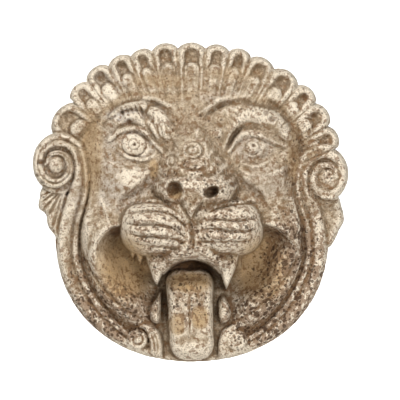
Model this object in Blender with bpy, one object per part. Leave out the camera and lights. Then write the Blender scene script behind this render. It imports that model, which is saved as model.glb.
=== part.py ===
"""Carved stone lion mask for a wall: one block with a flat back, its face turned to -Y."""

import math

import bmesh
import bpy
import numpy as np

# Sizes of the finished stone in metres
WIDTH = 0.634
HEIGHT = 0.640
DEPTH = 0.230
EDGE_THICKNESS = 0.054

# Fineness of the faceted solid
ROWS = 196
TRIANGLES = 9700
WEAR_PASSES = 3

# The carving is drawn on a sheet this wide and high, and the sizes above stretch it
DRAWN_WIDTH = 634.0
DRAWN_HEIGHT = 640.0
DRAWN_MIDDLE = (0.0, -1.0)

# The outline of the block, as drawn
MANE_CENTRE = (3.0, -21.0)
CHIN_CENTRE = (3.0, -67.0)
CHIN_HALF_WIDTH = 274.0
CHIN_DROP = 254.0
CHIN_SQUARENESS = 2.15
LEFT_VOLUTE = {"centre": (-263.0, 77.0), "reach": (54.0, 61.0), "eye": (-268.0, 74.0), "wear": 0.0}
RIGHT_VOLUTE = {"centre": (265.0, 55.0), "reach": (52.0, 57.0), "eye": (272.0, 50.0), "wear": 0.8}
LEFT_FAN = {
    "pivot": (-249.0, 34.0),
    "side": -1,
    "wear": 0.0,
    "reach": [
        (-15, 28), (0, 44), (18, 55), (30, 64), (41, 72), (57, 74), (68, 92), (77, 106), (82, 118),
        (95, 118),
    ],  # fmt: skip
}
RIGHT_FAN = {
    "pivot": (246.0, 14.0),
    "side": 1,
    "wear": 0.85,
    "reach": [
        (-15, 30), (0, 45), (8, 53), (21, 60), (31, 71), (42, 82), (54, 88), (63, 98), (71, 109),
        (95, 118),
    ],  # fmt: skip
}

# Heights above the back, as drawn
EDGE_HEIGHT = 52.0
GROUND_HEIGHT = 64.0
TEMPLE_RISE = 22.0
MOUND_HEIGHT = 144.0
MOUTH_FLOOR = 44.0


def clamp(v, low=0.0, high=1.0):
    return np.minimum(np.maximum(v, low), high)


def smoothstep(low, high, v):
    t = clamp((v - low) / (high - low))
    return t * t * (3 - 2 * t)


def soft_max(a, b, blend):
    share = clamp(0.5 + 0.5 * (a - b) / blend)
    return b + (a - b) * share + blend * share * (1 - share)


def soft_min(a, b, blend):
    return -soft_max(-a, -b, blend)


def hump(q):
    """1 at q = 0 falling smoothly to 0 at q = 1 and beyond."""
    return (1 - clamp(np.abs(q)) ** 2) ** 2


def round_top(q, power=0.5):
    """Round profile with steep sides: 1 at q = 0, 0 at q = 1 and beyond."""
    return clamp(1 - np.abs(q) ** 2) ** power


def oval(x, z, centre, reach, turn=0.0, squareness=2.0):
    """0 at the centre of an oval, 1 on its edge."""
    c, s = math.cos(turn), math.sin(turn)
    dx, dz = x - centre[0], z - centre[1]
    u = np.abs(dx * c + dz * s) / reach[0]
    w = np.abs(dz * c - dx * s) / reach[1]
    return (u**squareness + w**squareness) ** (1 / squareness)


def curve(points, steps=6, closed=False):
    """A smooth curve through the points."""
    p = np.array(points, float)
    if closed:
        before, after = np.roll(p, 1, 0), np.roll(p, -1, 0)
        after2 = np.roll(p, -2, 0)
        count = len(p)
    else:
        ends = np.vstack([2 * p[0] - p[1], p, 2 * p[-1] - p[-2]])
        before, p, after, after2 = ends[:-3], ends[1:-2], ends[2:-1], ends[3:]
        count = len(p)
    out = []
    for i in range(count):
        for t in np.arange(steps) / steps:
            out.append(
                0.5
                * (
                    2 * p[i]
                    + (after[i] - before[i]) * t
                    + (2 * before[i] - 5 * p[i] + 4 * after[i] - after2[i]) * t**2
                    + (3 * p[i] - before[i] - 3 * after[i] + after2[i]) * t**3
                )
            )
    out.append(out[0] if closed else after[-1])
    return np.array(out)


def along(x, z, path, reach):
    """Points near the path, with their distance from it, their side of it (1 is left) and share along it."""
    low, high = path.min(0) - reach, path.max(0) + reach
    near = np.flatnonzero((x > low[0]) & (x < high[0]) & (z > low[1]) & (z < high[1]))
    px, pz = x[near], z[near]
    lengths = np.hypot(*(path[1:] - path[:-1]).T)
    starts = np.concatenate([[0], np.cumsum(lengths)])
    best = np.full(len(near), 1e9)
    side = np.ones(len(near))
    share = np.zeros(len(near))
    for (ax, az), (bx, bz), length, start in zip(path[:-1], path[1:], lengths, starts):
        if length < 1e-9:
            continue
        ux, uz = (bx - ax) / length, (bz - az) / length
        t = clamp((px - ax) * ux + (pz - az) * uz, 0, length)
        dx, dz = px - ax - t * ux, pz - az - t * uz
        d = dx * dx + dz * dz
        closer = d < best
        best[closer] = d[closer]
        side[closer] = np.sign(ux * dz - uz * dx)[closer]
        share[closer] = ((start + t) / starts[-1])[closer]
    side[side == 0] = 1
    return near, np.sqrt(best), side, share


def ridge(h, x, z, path, half_width, height, fade=4.0):
    """Raises a soft line along the path, or cuts one. A small fade gives it fine ends."""
    near, d, _, share = along(x, z, path, half_width)
    end = 1 - np.abs(2 * share - 1) ** fade
    h[near] += height * end * hump(d / (half_width * (0.35 + 0.65 * end)))


def mass(h, x, z, centre, reach, low, high, power=0.5, turn=0.0, squareness=2.0, blend=6.0):
    """Adds a rounded mass that rises from low to high."""
    q = oval(x, z, centre, reach, turn, squareness)
    near = q < 1.25
    top = low + (high - low) * clamp(1 - q[near] ** 2) ** power
    top = np.where(q[near] < 1, top, low - 200 * (q[near] - 1))
    h[near] = soft_max(h[near], top, blend)


# The lobed mane
LOBE_NOTCHES = np.radians(
    [-60.3, -47.2, -38.7, -29.9, -21.7, -14.2, -5.2, 4.9, 13.2, 20.8, 30.0, 40.1, 48.4, 57.5, 66.0]
)
LOBE_TIPS = np.array([338, 345, 350, 347, 343, 343, 340, 340, 342, 341, 343, 343, 339, 331], float)
LOBE_WEAR = np.array([0.45, 0.5, 0.2, 0.25, 0.25, 0.2, 0.25, 0.5, 0.4, 0.4, 0.4, 0.7, 0.75, 0.9])


def lobe_frame(x, z):
    """Number of the lobe, place across it, distance from the mane's centre along it and half-width there."""
    dx, dz = x - MANE_CENTRE[0], z - MANE_CENTRE[1]
    angle = np.arctan2(dx, dz)
    number = np.clip(np.searchsorted(LOBE_NOTCHES, angle) - 1, 0, len(LOBE_TIPS) - 1)
    low, high = LOBE_NOTCHES[number], LOBE_NOTCHES[number + 1]
    off = angle - (low + high) / 2
    radius = np.maximum(np.hypot(dx, dz), 60.0)
    half = radius * np.sin((high - low) / 2)
    return number, radius * np.sin(off), radius * np.cos(off), half


def lobe_edge(number, lateral, reach, half):
    tip = LOBE_TIPS[number]
    head = 1.3 * np.sin((LOBE_NOTCHES[number + 1] - LOBE_NOTCHES[number]) / 2) * tip
    return np.where(reach > tip - head, head - np.hypot(lateral, reach - tip + head), head)


def mane_edge(x, z):
    """Distance inside the edge of the mane, negative outside it."""
    number, lateral, reach, half = lobe_frame(x, z)
    edge = lobe_edge(number, lateral, reach, half)
    beyond = np.abs(lateral) - half
    return np.where(beyond > 0.5, -beyond, edge)


def hairline(x, z):
    """Distance outside the line where the mane meets the forehead."""
    dx, dz = x - MANE_CENTRE[0], z - MANE_CENTRE[1]
    angle = np.arctan2(dx, dz)
    line = 232 + 42 * np.sin(1.9 * clamp(np.abs(angle), 0, 1.2)) ** 2 + 5 * np.sin(11 * angle + 0.6)
    return np.hypot(dx, dz) - line


def mane(x, z):
    number, lateral, reach, half = lobe_frame(x, z)
    wear = LOBE_WEAR[number]
    below_tip = LOBE_TIPS[number] - reach
    level = 100 - 14 * smoothstep(250, 340, reach) + 2.0 * np.sin(2.1 * number)
    level += 15 * smoothstep(292, 236, reach) * smoothstep(200, 90, np.abs(x))
    edge = soft_min(lobe_edge(number, lateral, reach, half), half - np.abs(lateral), 0.6 * half)
    roll = np.sin(math.pi * clamp(edge / 13, 0, 1)) ** 0.6
    divider = 0.85 * smoothstep(12, 40, below_tip) * smoothstep(13, 4, edge)
    h = level - 9 + 12 * (1 - 0.5 * wear) * np.maximum(roll, divider)
    h -= 6 * (1 - 0.4 * wear) * hump((below_tip - 27) / 14) * hump(lateral / (0.6 * half))
    tongue_half = 0.66 * half
    tongue_top = 40 + tongue_half
    tongue_edge = tongue_half - np.hypot(lateral, np.maximum(tongue_top - below_tip, 0))
    rise = clamp(tongue_edge / 10)
    tongue = level - 8 + (13 - 4 * wear) * np.sqrt(1 - (1 - rise) ** 2)
    h = np.where(tongue_edge > 0, np.maximum(h, tongue), h)
    return h - 4.5 * (1 - 0.5 * wear) * hump((tongue_edge + 0.5) / 3.5)


# The scrolls that rise from the chin rim
def chin_edge(x, z):
    """Distance inside the chin's outline."""
    dx, dz = x - CHIN_CENTRE[0], z - CHIN_CENTRE[1]
    q = (np.abs(dx / CHIN_HALF_WIDTH) ** CHIN_SQUARENESS + np.abs(dz / CHIN_DROP) ** CHIN_SQUARENESS) ** (
        1 / CHIN_SQUARENESS
    )
    q = np.maximum(q, 1e-6)
    return np.hypot(dx, dz) * (1 / q - 1)


def volute_edge(x, z, volute):
    q = oval(x, z, volute["centre"], volute["reach"])
    return (1 - q) * min(volute["reach"])


def fan_edge(x, z, fan):
    """Distance inside the leaf that fans out below a volute."""
    dx, dz = (x - fan["pivot"][0]) * fan["side"], z - fan["pivot"][1]
    angle = np.arctan2(-dz, dx)
    reach = np.interp(np.degrees(angle), *zip(*fan["reach"]), left=-20, right=-20)
    reach = reach + 3.0 * (1 - fan["wear"]) * (np.abs(np.sin(angle * 7)) - 0.6)
    return reach - np.hypot(dx, dz)


def outline_edge(x, z):
    """Distance inside the outline of the block, negative outside it."""
    edge = chin_edge(x, z)
    edge = np.maximum(edge, np.where(z > 60, mane_edge(x, z), -1e3))
    edge = np.maximum(edge, (1 - oval(x, z, (0, 55), (250, 240))) * 240)
    for volute in (LEFT_VOLUTE, RIGHT_VOLUTE):
        edge = np.maximum(edge, volute_edge(x, z, volute))
    for fan in (LEFT_FAN, RIGHT_FAN):
        edge = np.maximum(edge, fan_edge(x, z, fan))
    return edge


# Turn in degrees, distance from the eye and half-width of the strap as it coils
COIL = (
    (0, 48, 16.0), (45, 51, 15.5), (90, 50, 14.5), (135, 42, 13.0), (180, 37, 12.0), (225, 38, 10.5),
    (270, 38, 9.5), (315, 33, 8.0), (360, 27, 7.0), (420, 25, 6.0), (480, 23, 4.5), (540, 20, 3.0),
)  # fmt: skip


def scroll_path(side, volute):
    """Line and half-width of a strap: up the chin's rim, over the volute and round its eye."""
    points = []
    for turn in np.radians(np.linspace(-72, -8, 9)):
        c, s = math.cos(turn), math.sin(turn)
        q = (abs(c / CHIN_HALF_WIDTH) ** CHIN_SQUARENESS + abs(s / CHIN_DROP) ** CHIN_SQUARENESS) ** (
            1 / CHIN_SQUARENESS
        )
        half = 23 - 9 * smoothstep(-0.5, -1.25, turn)
        reach = 1 / q - half - 1
        points.append((CHIN_CENTRE[0] + side * c * reach, CHIN_CENTRE[1] + s * reach, half))
    points.append((CHIN_CENTRE[0] + side * 243, -46, 23))
    points.append((CHIN_CENTRE[0] + side * 231, -4, 22))
    points.append((CHIN_CENTRE[0] + side * 223, 34 if side < 0 else 22, 19))
    strap = len(points)
    for turn, radius, half in COIL:
        a = math.radians(turn)
        points.append(
            (volute["eye"][0] - side * radius * math.cos(a), volute["eye"][1] + radius * math.sin(a), half)
        )
    return curve(points, 4), 4 * strap


def straps(h, x, z):
    for side, volute in ((-1, LEFT_VOLUTE), (1, RIGHT_VOLUTE)):
        path, start = scroll_path(side, volute)
        near, d, left, share = along(x, z, path[:, :2], 32)
        steps = np.hypot(*(path[1:, :2] - path[:-1, :2]).T)
        places = np.concatenate([[0], np.cumsum(steps)]) / steps.sum()
        half = np.interp(share, places, path[:, 2])
        coil = smoothstep(places[start] - 0.05, places[start] + 0.1, share)
        inner = d / half * left * side
        split = 0.28 - 0.3 * coil
        torus = round_top((inner - (split - 1) / 2) / ((split + 1) / 2), 0.5)
        reed = round_top((inner - (split + 0.95) / 2) / ((0.95 - split) / 2), 0.5)
        profile = np.maximum(torus, 0.88 * reed)
        crest = 76 + 26 * smoothstep(0.3, 0.6, share)
        low = crest - 14 + 2 * coil
        wear = volute["wear"] * coil
        top = low + (crest - low) * ((1 - wear) * profile + wear * 0.7)
        ground = oval(x, z, volute["centre"], volute["reach"]) < 1
        from_eye = np.hypot(x - volute["eye"][0], z - volute["eye"][1])
        h[ground] = 86 + 5 * smoothstep(40, 20, from_eye[ground])
        inside = np.abs(inner) < 1
        h[near] = np.where(inside, np.where(coil > 0.9, np.maximum(top, h[near]), top), h[near])
        h[near] -= 5 * hump((np.abs(inner) - 1.05) / 0.2) * (1 - 0.5 * wear)
        q = oval(x, z, volute["eye"], (17, 18))
        eye = q < 1
        h[eye] = 87 + (20 - 15 * volute["wear"]) * clamp(1 - q[eye] ** 2) ** 0.42


def fans(h, x, z):
    for fan in (LEFT_FAN, RIGHT_FAN):
        edge = fan_edge(x, z, fan)
        dx, dz = (x - fan["pivot"][0]) * fan["side"], z - fan["pivot"][1]
        reach = np.hypot(dx, dz)
        angle = np.arctan2(-dz, dx)
        ribs = np.abs(np.sin(angle * 15)) ** 0.8 * smoothstep(0.15, 0.5, angle)
        spread = smoothstep(8, 40, reach)
        top = 82 - 10 * smoothstep(10, 90, reach) + 8 * (1 - fan["wear"]) * (ribs - 0.6) * spread
        inside = edge > 0
        h[inside] = top[inside]


# The head
def head_mound(x, z):
    q = oval(x, z, (0, 5), (235, 262))
    ground = GROUND_HEIGHT + TEMPLE_RISE * smoothstep(20, 120, z)
    return ground + (MOUND_HEIGHT - ground) * round_top(q, 0.55)


def region(x, z, path, reach):
    """Distance inside a closed path, negative outside it, up to the reach."""
    near, d, _, _ = along(x, z, path, reach)
    px, pz = x[near], z[near]
    crossings = np.zeros(len(near), bool)
    for (ax, az), (bx, bz) in zip(path[:-1], path[1:]):
        if az == bz:
            continue
        spans = (pz < az) != (pz < bz)
        crossings ^= spans & (px < ax + (pz - az) * (bx - ax) / (bz - az))
    out = np.full(len(x), -float(reach))
    out[near] = np.where(crossings, d, -np.minimum(d, reach))
    return out


def swell(h, x, z, path, roll, low, high, blend=5.0):
    """Raises a closed shape with a rounded edge as wide as the roll."""
    inside = region(x, z, path, roll)
    rise = clamp(inside / roll)
    top = low + (high - low) * np.sqrt(1 - (1 - rise) ** 2)
    top = np.where(inside > 0, top, low + 3 * inside)
    near = inside > -roll
    h[near] = soft_max(h[near], top[near], blend)
    return inside


def forehead(h, x, z):
    folds = (
        ([(-18, 176), (-42, 190), (-70, 204), (-104, 208), (-142, 200), (-168, 186)], 11, 6),
        ([(10, 172), (32, 184), (52, 198), (74, 208), (98, 212), (120, 208)], 11, 11),
        ([(-30, 168), (-52, 184), (-84, 199), (-120, 197), (-152, 186)], 9, -5),
        ([(22, 160), (40, 176), (62, 192), (90, 198), (120, 197), (146, 190)], 12, -10),
    )
    for path, half_width, height in folds:
        ridge(h, x, z, curve(path), half_width, height, 2)
    for number in range(3):
        radius = 8 + 9 * number
        turns = np.linspace(-1.2, 1.2, 7)
        arc = [(5 + radius * 1.35 * math.sin(a), 176 - radius * math.cos(a)) for a in turns]
        ridge(h, x, z, curve(arc, 3), 4.5, 3.5, 2)
    mass(h, x, z, (9, 150), (24, 26), 108, 128, 1.0, blend=12)


LEFT_TUFTS = [
    (-164, 166), (-154, 180), (-138, 192), (-120, 199), (-102, 202), (-88, 197), (-82, 184), (-90, 172),
    (-110, 180), (-132, 178), (-150, 168),
]  # fmt: skip
LEFT_FOLD = [(-172, 143), (-154, 158), (-134, 168), (-112, 169), (-92, 158), (-74, 138), (-56, 116)]
LEFT_KNOT = [
    (-85, 187), (-73, 192), (-61, 189), (-47, 178), (-37, 165), (-29, 151), (-25, 135), (-28, 120),
    (-43, 113), (-58, 116), (-69, 128), (-77, 143), (-84, 160), (-90, 175),
]  # fmt: skip
RIGHT_BROW = [
    (71, 104), (62, 112), (64, 128), (74, 148), (86, 168), (97, 181), (113, 189), (132, 190),
    (151, 185), (171, 176), (187, 162), (199, 144), (203, 124), (190, 118), (171, 126), (152, 137),
    (133, 149), (113, 155), (99, 146), (88, 131), (80, 112),
]  # fmt: skip


def brows(h, x, z):
    ridge(h, x, z, curve(LEFT_FOLD), 20, 17, 2)
    swell(h, x, z, curve(LEFT_TUFTS, 4, closed=True), 12, 106, 131, blend=8)
    swell(h, x, z, curve(LEFT_KNOT, 4, closed=True), 20, 106, 147, blend=8)
    cut = [(-97, 192), (-95, 172), (-88, 156), (-80, 140), (-71, 124), (-58, 110)]
    ridge(h, x, z, curve(cut), 7, -11, 2)
    h -= 8 * smoothstep(150, 190, z) * hump((x + 62) / 34) * hump((z - 186) / 26)
    for number in range(5):
        start = (-101 + 7 * number, 193 - 2 * number)
        middle = (-93 + 7 * number, 174 - 3 * number)
        end = (-80 + 6 * number, 152 - 4 * number)
        ridge(h, x, z, curve([start, middle, end]), 4.0, -6.5, 2)
    for number in range(5):
        start = (-75 + 9 * number, 178 - 5 * number - 9 * (number % 2))
        end = (-66 + 8 * number, 134 - 4 * number - 7 * (number % 3))
        middle = ((start[0] + end[0]) / 2 - 3, (start[1] + end[1]) / 2)
        ridge(h, x, z, curve([start, middle, end]), 3.6, -3.0 - 0.8 * (number % 2), 2)
    for number in range(7):
        start = (-103 - 8 * number, 200 - 3.5 * number)
        end = (-95 - 9 * number, 180 - 2 * number)
        middle = ((start[0] + end[0]) / 2 - 2, (start[1] + end[1]) / 2)
        ridge(h, x, z, curve([start, middle, end]), 3.6, -5.5, 2)
    h += 6 * hump(np.hypot(x + 108, z - 192) / 9)
    h -= 7 * hump(np.hypot(x + 122, z - 159) / 6)
    mass(h, x, z, (50, 133), (25, 30), 104, 145, 0.7, turn=-0.1, blend=10)
    swell(h, x, z, curve(RIGHT_BROW, 4, closed=True), 28, 104, 138, blend=10)
    mass(h, x, z, (158, 141), (58, 30), 100, 128, 1.0, turn=-0.4, blend=14)
    for number in range(12):
        turn = 2.75 - 0.145 * number
        c, s = math.cos(turn), math.sin(turn)
        outer = (138 + 66 * c, 112 + 78 * s)
        inner = (141 + 52 * c, 110 + 62 * s)
        depth = -5 if 4 < number < 10 else -3
        ridge(h, x, z, curve([inner, outer]), 3.2, depth, 3)
    ridge(h, x, z, curve([(68, 97), (77, 112), (85, 129), (96, 143), (112, 153)]), 8, -20, 2)
    curl = oval(x, z, (-148, 173), (14, 14))
    h -= 9 * hump((curl - 0.85) / 0.5) * smoothstep(-152, -138, x)


EYES = (
    {
        "ball": (-112, 114),
        "reach": (40, 32),
        "lid": [
            (-170, 128), (-156, 138), (-141, 148), (-122, 154), (-102, 150), (-85, 138), (-71, 120),
            (-58, 101),
        ],  # fmt: skip
        "upper": [(-158, 122), (-144, 135), (-128, 142), (-109, 143), (-92, 134), (-78, 119), (-60, 100)],
        "lower": [(-150, 110), (-136, 96), (-116, 86), (-94, 83), (-77, 90), (-63, 100)],
        "pupil": (-111, 113),
        "rings": (11, 24),
        "lower_height": 6,
    },
    {
        "ball": (123, 107),
        "reach": (39, 31),
        "lid": [
            (78, 106), (90, 128), (106, 143), (122, 148), (138, 144), (156, 132), (176, 123), (200, 114),
        ],  # fmt: skip
        "upper": [(80, 101), (90, 117), (106, 129), (124, 132), (144, 126), (166, 116), (186, 110)],
        "lower": [(85, 93), (102, 78), (126, 70), (151, 77), (172, 92)],
        "pupil": (125, 111),
        "rings": (14,),
        "lower_height": 3.5,
    },
)


def eyes(h, x, z):
    for eye in EYES:
        q = oval(x, z, eye["ball"], (76, 58))
        h -= 9 * hump(q)
        side = np.sign(eye["ball"][0])
        bulge = (eye["ball"][0] + 4 * side, eye["ball"][1] + 16)
        mass(h, x, z, bulge, (70, 46), 92, 129, 1.0, turn=-0.25 * side, blend=12)
        mass(h, x, z, eye["ball"], eye["reach"], 96, 135, 0.5, blend=4)
        upper, lid = curve(eye["upper"]), curve(eye["lid"])
        near, d, left, _ = along(x, z, upper, 11)
        h[near] += 8 * np.where(left > 0, hump(d / 12), hump(d / 3))
        ridge(h, x, z, upper - np.array([0, 5.5]), 4, -4.5, 2)
        ridge(h, x, z, lid, 4, -4.5, 2)
        ridge(h, x, z, curve(eye["lower"]), 6, eye["lower_height"], 2)
        ridge(h, x, z, curve(eye["lower"]) + np.array([0, 6.5]), 4, -2.5, 2)
        ridge(h, x, z, curve(eye["lower"]) - np.array([0, 8]), 5, -2.5, 2)
        r = np.hypot(x - eye["ball"][0], z - eye["ball"][1])
        for reach in eye["rings"]:
            h -= 3.0 * hump((r - reach) / 3.0)
        h -= 5.5 * hump(np.hypot(x - eye["pupil"][0], z - eye["pupil"][1]) / 5.5)


def cheeks(h, x, z):
    mass(h, x, z, (-130, 42), (72, 62), 92, 143, 1.1, turn=-0.25, blend=18)
    mass(h, x, z, (138, 46), (68, 62), 92, 141, 1.1, turn=0.25, blend=18)
    valleys = (
        [(-196, 150), (-199, 110), (-198, 60), (-198, 20), (-206, -30)],
        [(208, 150), (210, 110), (206, 70), (206, 20), (214, -40)],
    )
    for path in valleys:
        ridge(h, x, z, curve(path), 26, -9, 1.5)


def side_locks(h, x, z):
    """Curls cut between each cheek and the strap."""
    for side in (-1, 1):
        for number in range(6):
            start = (side * (200 - 5 * number), 28 - 15 * number)
            middle = (side * (180 - 4 * number), 8 - 13 * number)
            end = (side * (166 - 2 * number), -18 - 9 * number)
            depth = 1.6 if side < 0 else 1.0
            lock = curve([start, middle, end])
            ridge(h, x, z, lock, 7, depth, 3)
            ridge(h, x, z, lock + np.array([2 * side, -8]), 6, -depth, 3)


NOSE_PAD = [
    (-65, 31), (-61, 46), (-45, 56), (-21, 60), (9, 58), (35, 60), (63, 58), (82, 46), (90, 27), (86, 2),
    (66, -10), (42, -14), (24, -22), (9, -32), (-6, -22), (-28, -13), (-54, -5), (-65, 10),
]  # fmt: skip


# Middle, reach and open side of the rings cut across the bridge
NOSE_RINGS = (
    ((4, 101), (22, 17), 2.6),
    ((4, 101), (11, 9), 0.4),
    ((9, 74), (27, 12), 1.3),
    ((-37, 78), (13, 13), -0.6),
    ((-37, 78), (6, 6), 2.0),
)


def nose_and_bridge(h, x, z):
    t = smoothstep(186, 50, z)
    half = 40 + 42 * t**1.4
    q = (x - 4) / half
    low = 104
    rise = (34 + 68 * t) * clamp(1 - q**2) ** 0.8 * smoothstep(200, 136, z) * smoothstep(10, 40, z)
    near = (np.abs(q) < 1) & (rise > 0)
    h[near] = soft_max(h[near], low + rise[near], 16)
    for middle, reach, opening in NOSE_RINGS:
        q = oval(x, z, middle, reach)
        turn = np.arctan2(z - middle[1], x - middle[0])
        share = 0.55 - 0.45 * np.cos(turn - opening)
        h -= 4.5 * share * hump((q - 1) * reach[1] / 4.5)
    for line in ([(38, 104), (52, 96), (64, 82), (74, 62)], [(-24, 124), (-34, 110), (-38, 96)]):
        ridge(h, x, z, curve(line), 6, -4.0, 2)
    ridge(h, x, z, curve([(43, 90), (60, 80), (74, 66)]), 7, 4, 2)
    front = 221 - 0.0045 * (x - 6) ** 2 - 0.55 * clamp(26 - z, 0, 60)
    swell(h, x, z, curve(NOSE_PAD, 4, closed=True), 24, 100, front, blend=14)
    mass(h, x, z, (-54, 26), (24, 30), 100, 188, 0.8, blend=16)
    mass(h, x, z, (72, 28), (28, 32), 100, 188, 0.8, blend=16)
    mass(h, x, z, (4, -16), (76, 40), 100, 196, 0.5, blend=16)


def nostrils(h, x, z):
    for centre, reach, turn, depth in (((-31, 21), (17, 20), 0.1, 46), ((41, 18), (16, 12), 0.45, 52)):
        q = oval(x, z, centre, reach, turn)
        fade = 0.35 + 0.65 * smoothstep(centre[1] - reach[1], centre[1] + 0.6 * reach[1], z)
        h -= depth * fade * clamp(1 - q**2) ** 0.7


WHISKER_LINES = {
    -1: (
        [(-129, -8), (-91, -3), (-56, -4), (-28, -18)],
        [(-136, -26), (-84, -20), (-45, -24), (-20, -40), (-4, -56)],
        [(-136, -44), (-104, -46), (-68, -46), (-32, -54), (-8, -72)],
        [(-130, -62), (-100, -68), (-60, -70), (-26, -76), (-8, -88)],
        [(-118, -80), (-86, -88), (-46, -90), (-14, -98)],
    ),
    1: (
        [(144, -2), (108, -5), (68, -9), (36, -22)],
        [(144, -26), (124, -34), (92, -38), (52, -36), (22, -40)],
        [(142, -50), (112, -58), (74, -58), (40, -54), (14, -58)],
        [(138, -72), (98, -79), (48, -79), (14, -80)],
    ),
}


SEPTUM = [(-26, 24), (28, 24), (29, 6), (18, -14), (2, -38), (-9, -20), (-21, 2)]


def front_lip(h, x, z):
    """The upper lip between the fangs, down to its arched edge."""
    arch = np.maximum(-118 - 0.0095 * (x - 3) ** 2, -148)
    near = np.flatnonzero((np.abs(x - 3) < 100) & (z < -30) & (z > arch))
    rise = clamp((z[near] - arch[near]) / 34)
    top = MOUTH_FLOOR + (180 - MOUTH_FLOOR) * np.sqrt(1 - (1 - rise) ** 2) ** 0.6
    top -= 0.011 * (x[near] - 3) ** 2
    h[near] = soft_max(h[near], top, 16)


def muzzle(h, x, z):
    mass(h, x, z, (-66, -50), (76, 60), MOUTH_FLOOR - 20, 206, 0.23, squareness=2.5, turn=0.06, blend=8)
    mass(h, x, z, (73, -50), (74, 60), MOUTH_FLOOR - 20, 204, 0.23, squareness=2.5, turn=-0.03, blend=8)
    front_lip(h, x, z)
    swell(h, x, z, curve(SEPTUM, 4, closed=True), 14, 172, 208, blend=10)
    ridge(h, x, z, curve([(27, 4), (13, -17), (-1, -39)]), 5, -11, 3)
    ridge(h, x, z, curve([(-23, 0), (-11, -20), (-1, -39)]), 5, -7, 3)
    ridge(h, x, z, curve([(-1, -30), (2, -58), (5, -84), (5, -112)]), 8, -9, 2)
    for lines in WHISKER_LINES.values():
        for line in lines:
            path = curve(line)
            ridge(h, x, z, path, 7, -7.5, 3)
            ridge(h, x, z, path + np.array([0, 9.5]), 8, 4.0, 3)
            ridge(h, x, z, path + np.array([3, 11.0]), 3.6, -3.5, 3)


def cheek_folds(h, x, z):
    for path in (
        [(-62, 84), (-72, 58), (-88, 33), (-110, 15), (-134, 0), (-148, -32)],
        [(76, 86), (90, 60), (102, 34), (124, 17), (144, 0), (156, -34)],
    ):
        ridge(h, x, z, curve(path), 17, -13, 1.6)


# The mouth
MOUTH = [
    (-139, -47), (-167, -58), (-186, -84), (-190, -121), (-180, -162), (-156, -198), (-122, -226),
    (-84, -243), (3, -250), (84, -243), (128, -229), (166, -205), (196, -174), (212, -136), (210, -95),
    (186, -60), (147, -44), (70, -30), (3, -30), (-70, -30),
]  # fmt: skip


def jaw(h, x, z):
    """The rolled lower lip between the rim and the mouth."""
    edge = chin_edge(x, z)
    dx, dz = x - CHIN_CENTRE[0], z - CHIN_CENTRE[1]
    down = smoothstep(-0.1, 0.95, -dz / np.maximum(np.hypot(dx, dz), 1))
    below = smoothstep(40, -60, z)
    h += (24 + 6 * down) * smoothstep(40, 66, edge) * smoothstep(150, 96, edge) * below
    gap = smoothstep(128, 66, np.abs(x - 1)) * smoothstep(-160, -225, z)
    h -= (h - 60) * gap


def mouth(h, x, z):
    depth = region(x, z, curve(MOUTH, 12, closed=True), 90)
    lip = hump((depth + 5) / 11)
    h += 5 * lip * smoothstep(-30, -60, z) * (1 - 0.9 * smoothstep(-110, -170, z))
    floor = MOUTH_FLOOR - 12 * hump((z + 130) / 40) * hump(x / 60) + 12 * smoothstep(70, 140, np.abs(x))
    soft = smoothstep(-62, -125, z)
    wall = 1 - clamp(depth / (30 + (34 + 20 * smoothstep(-20, 60, x)) * soft))
    level = floor + (h - floor) * (wall**1.9 * (1 - soft) + wall**2 * (3 - 2 * wall) * soft)
    h[:] = np.where(depth > 0, np.minimum(level, h), h)


def tongue(h, x, z):
    top_z, foot_z = -136, -317
    t = clamp((top_z - z) / (top_z - foot_z))
    centre = -3 + 7 * t
    half = 48 - 2 * smoothstep(0.2, 0.5, t)
    top_end = clamp((top_z - z) / 26)
    foot = clamp((z - foot_z) / 38)
    width = np.sqrt(1 - (1 - top_end) ** 2) ** 0.45 * np.sqrt(1 - (1 - foot) ** 2) ** 0.6
    across = (x - centre) / half
    q = np.abs(across) / np.maximum(width, 0.02)
    crown = 90 + 30 * smoothstep(0, 0.2, t) - 12 * smoothstep(0.3, 0.75, t)
    crown += 5 * hump((t - 0.86) / 0.11) - 20 * smoothstep(0.9, 1.0, t)
    low = 44
    top = low + (crown - low) * clamp(1 - q**8) ** 0.5
    zone = (z < top_z) & (z > foot_z) & (q < 1)
    top += 2.5 * hump((q - 0.84) / 0.14) * smoothstep(0.1, 0.3, t) * (1 - 0.6 * (x < centre))
    h[zone] = np.maximum(h, top)[zone]
    ridge(h, x, z, curve([(-2, -192), (-2, -225), (-1, -262)]), 3.5, -5, 3)
    for cx, cz in ((-27, -243), (18, -231)):
        h -= 2.0 * smoothstep(1.0, 0.8, oval(x, z, (cx, cz), (17, 24), squareness=5))
    curl = [(-36, -268), (-30, -296), (-10, -309), (18, -307), (36, -290), (42, -270)]
    ridge(h, x, z, curve(curl), 5, -4, 3)


def fang(h, x, z, base, tip, half, low, high, root=0.3):
    """A cone of a tooth, at one height along its crest at the base and another at the tip."""
    axis = np.array(tip, float) - np.array(base, float)
    length = np.hypot(*axis)
    axis = axis / length
    t = ((x - base[0]) * axis[0] + (z - base[1]) * axis[1]) / length
    lateral = (x - base[0]) * axis[1] - (z - base[1]) * axis[0]
    width = half * clamp(1 - clamp(t, 0, 1) ** 1.25) ** 0.85
    q = np.abs(lateral) / np.maximum(width, 0.5)
    zone = (t > -root) & (t < 1) & (q < 1)
    top = low + (high - low) * t - 0.9 * width * (1 - round_top(q)) - 10 * smoothstep(0.8, 1.0, t)
    top -= 60 * smoothstep(0.0, -root, t)
    h[zone] = soft_max(h[zone], top[zone], 9.0)


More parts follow.
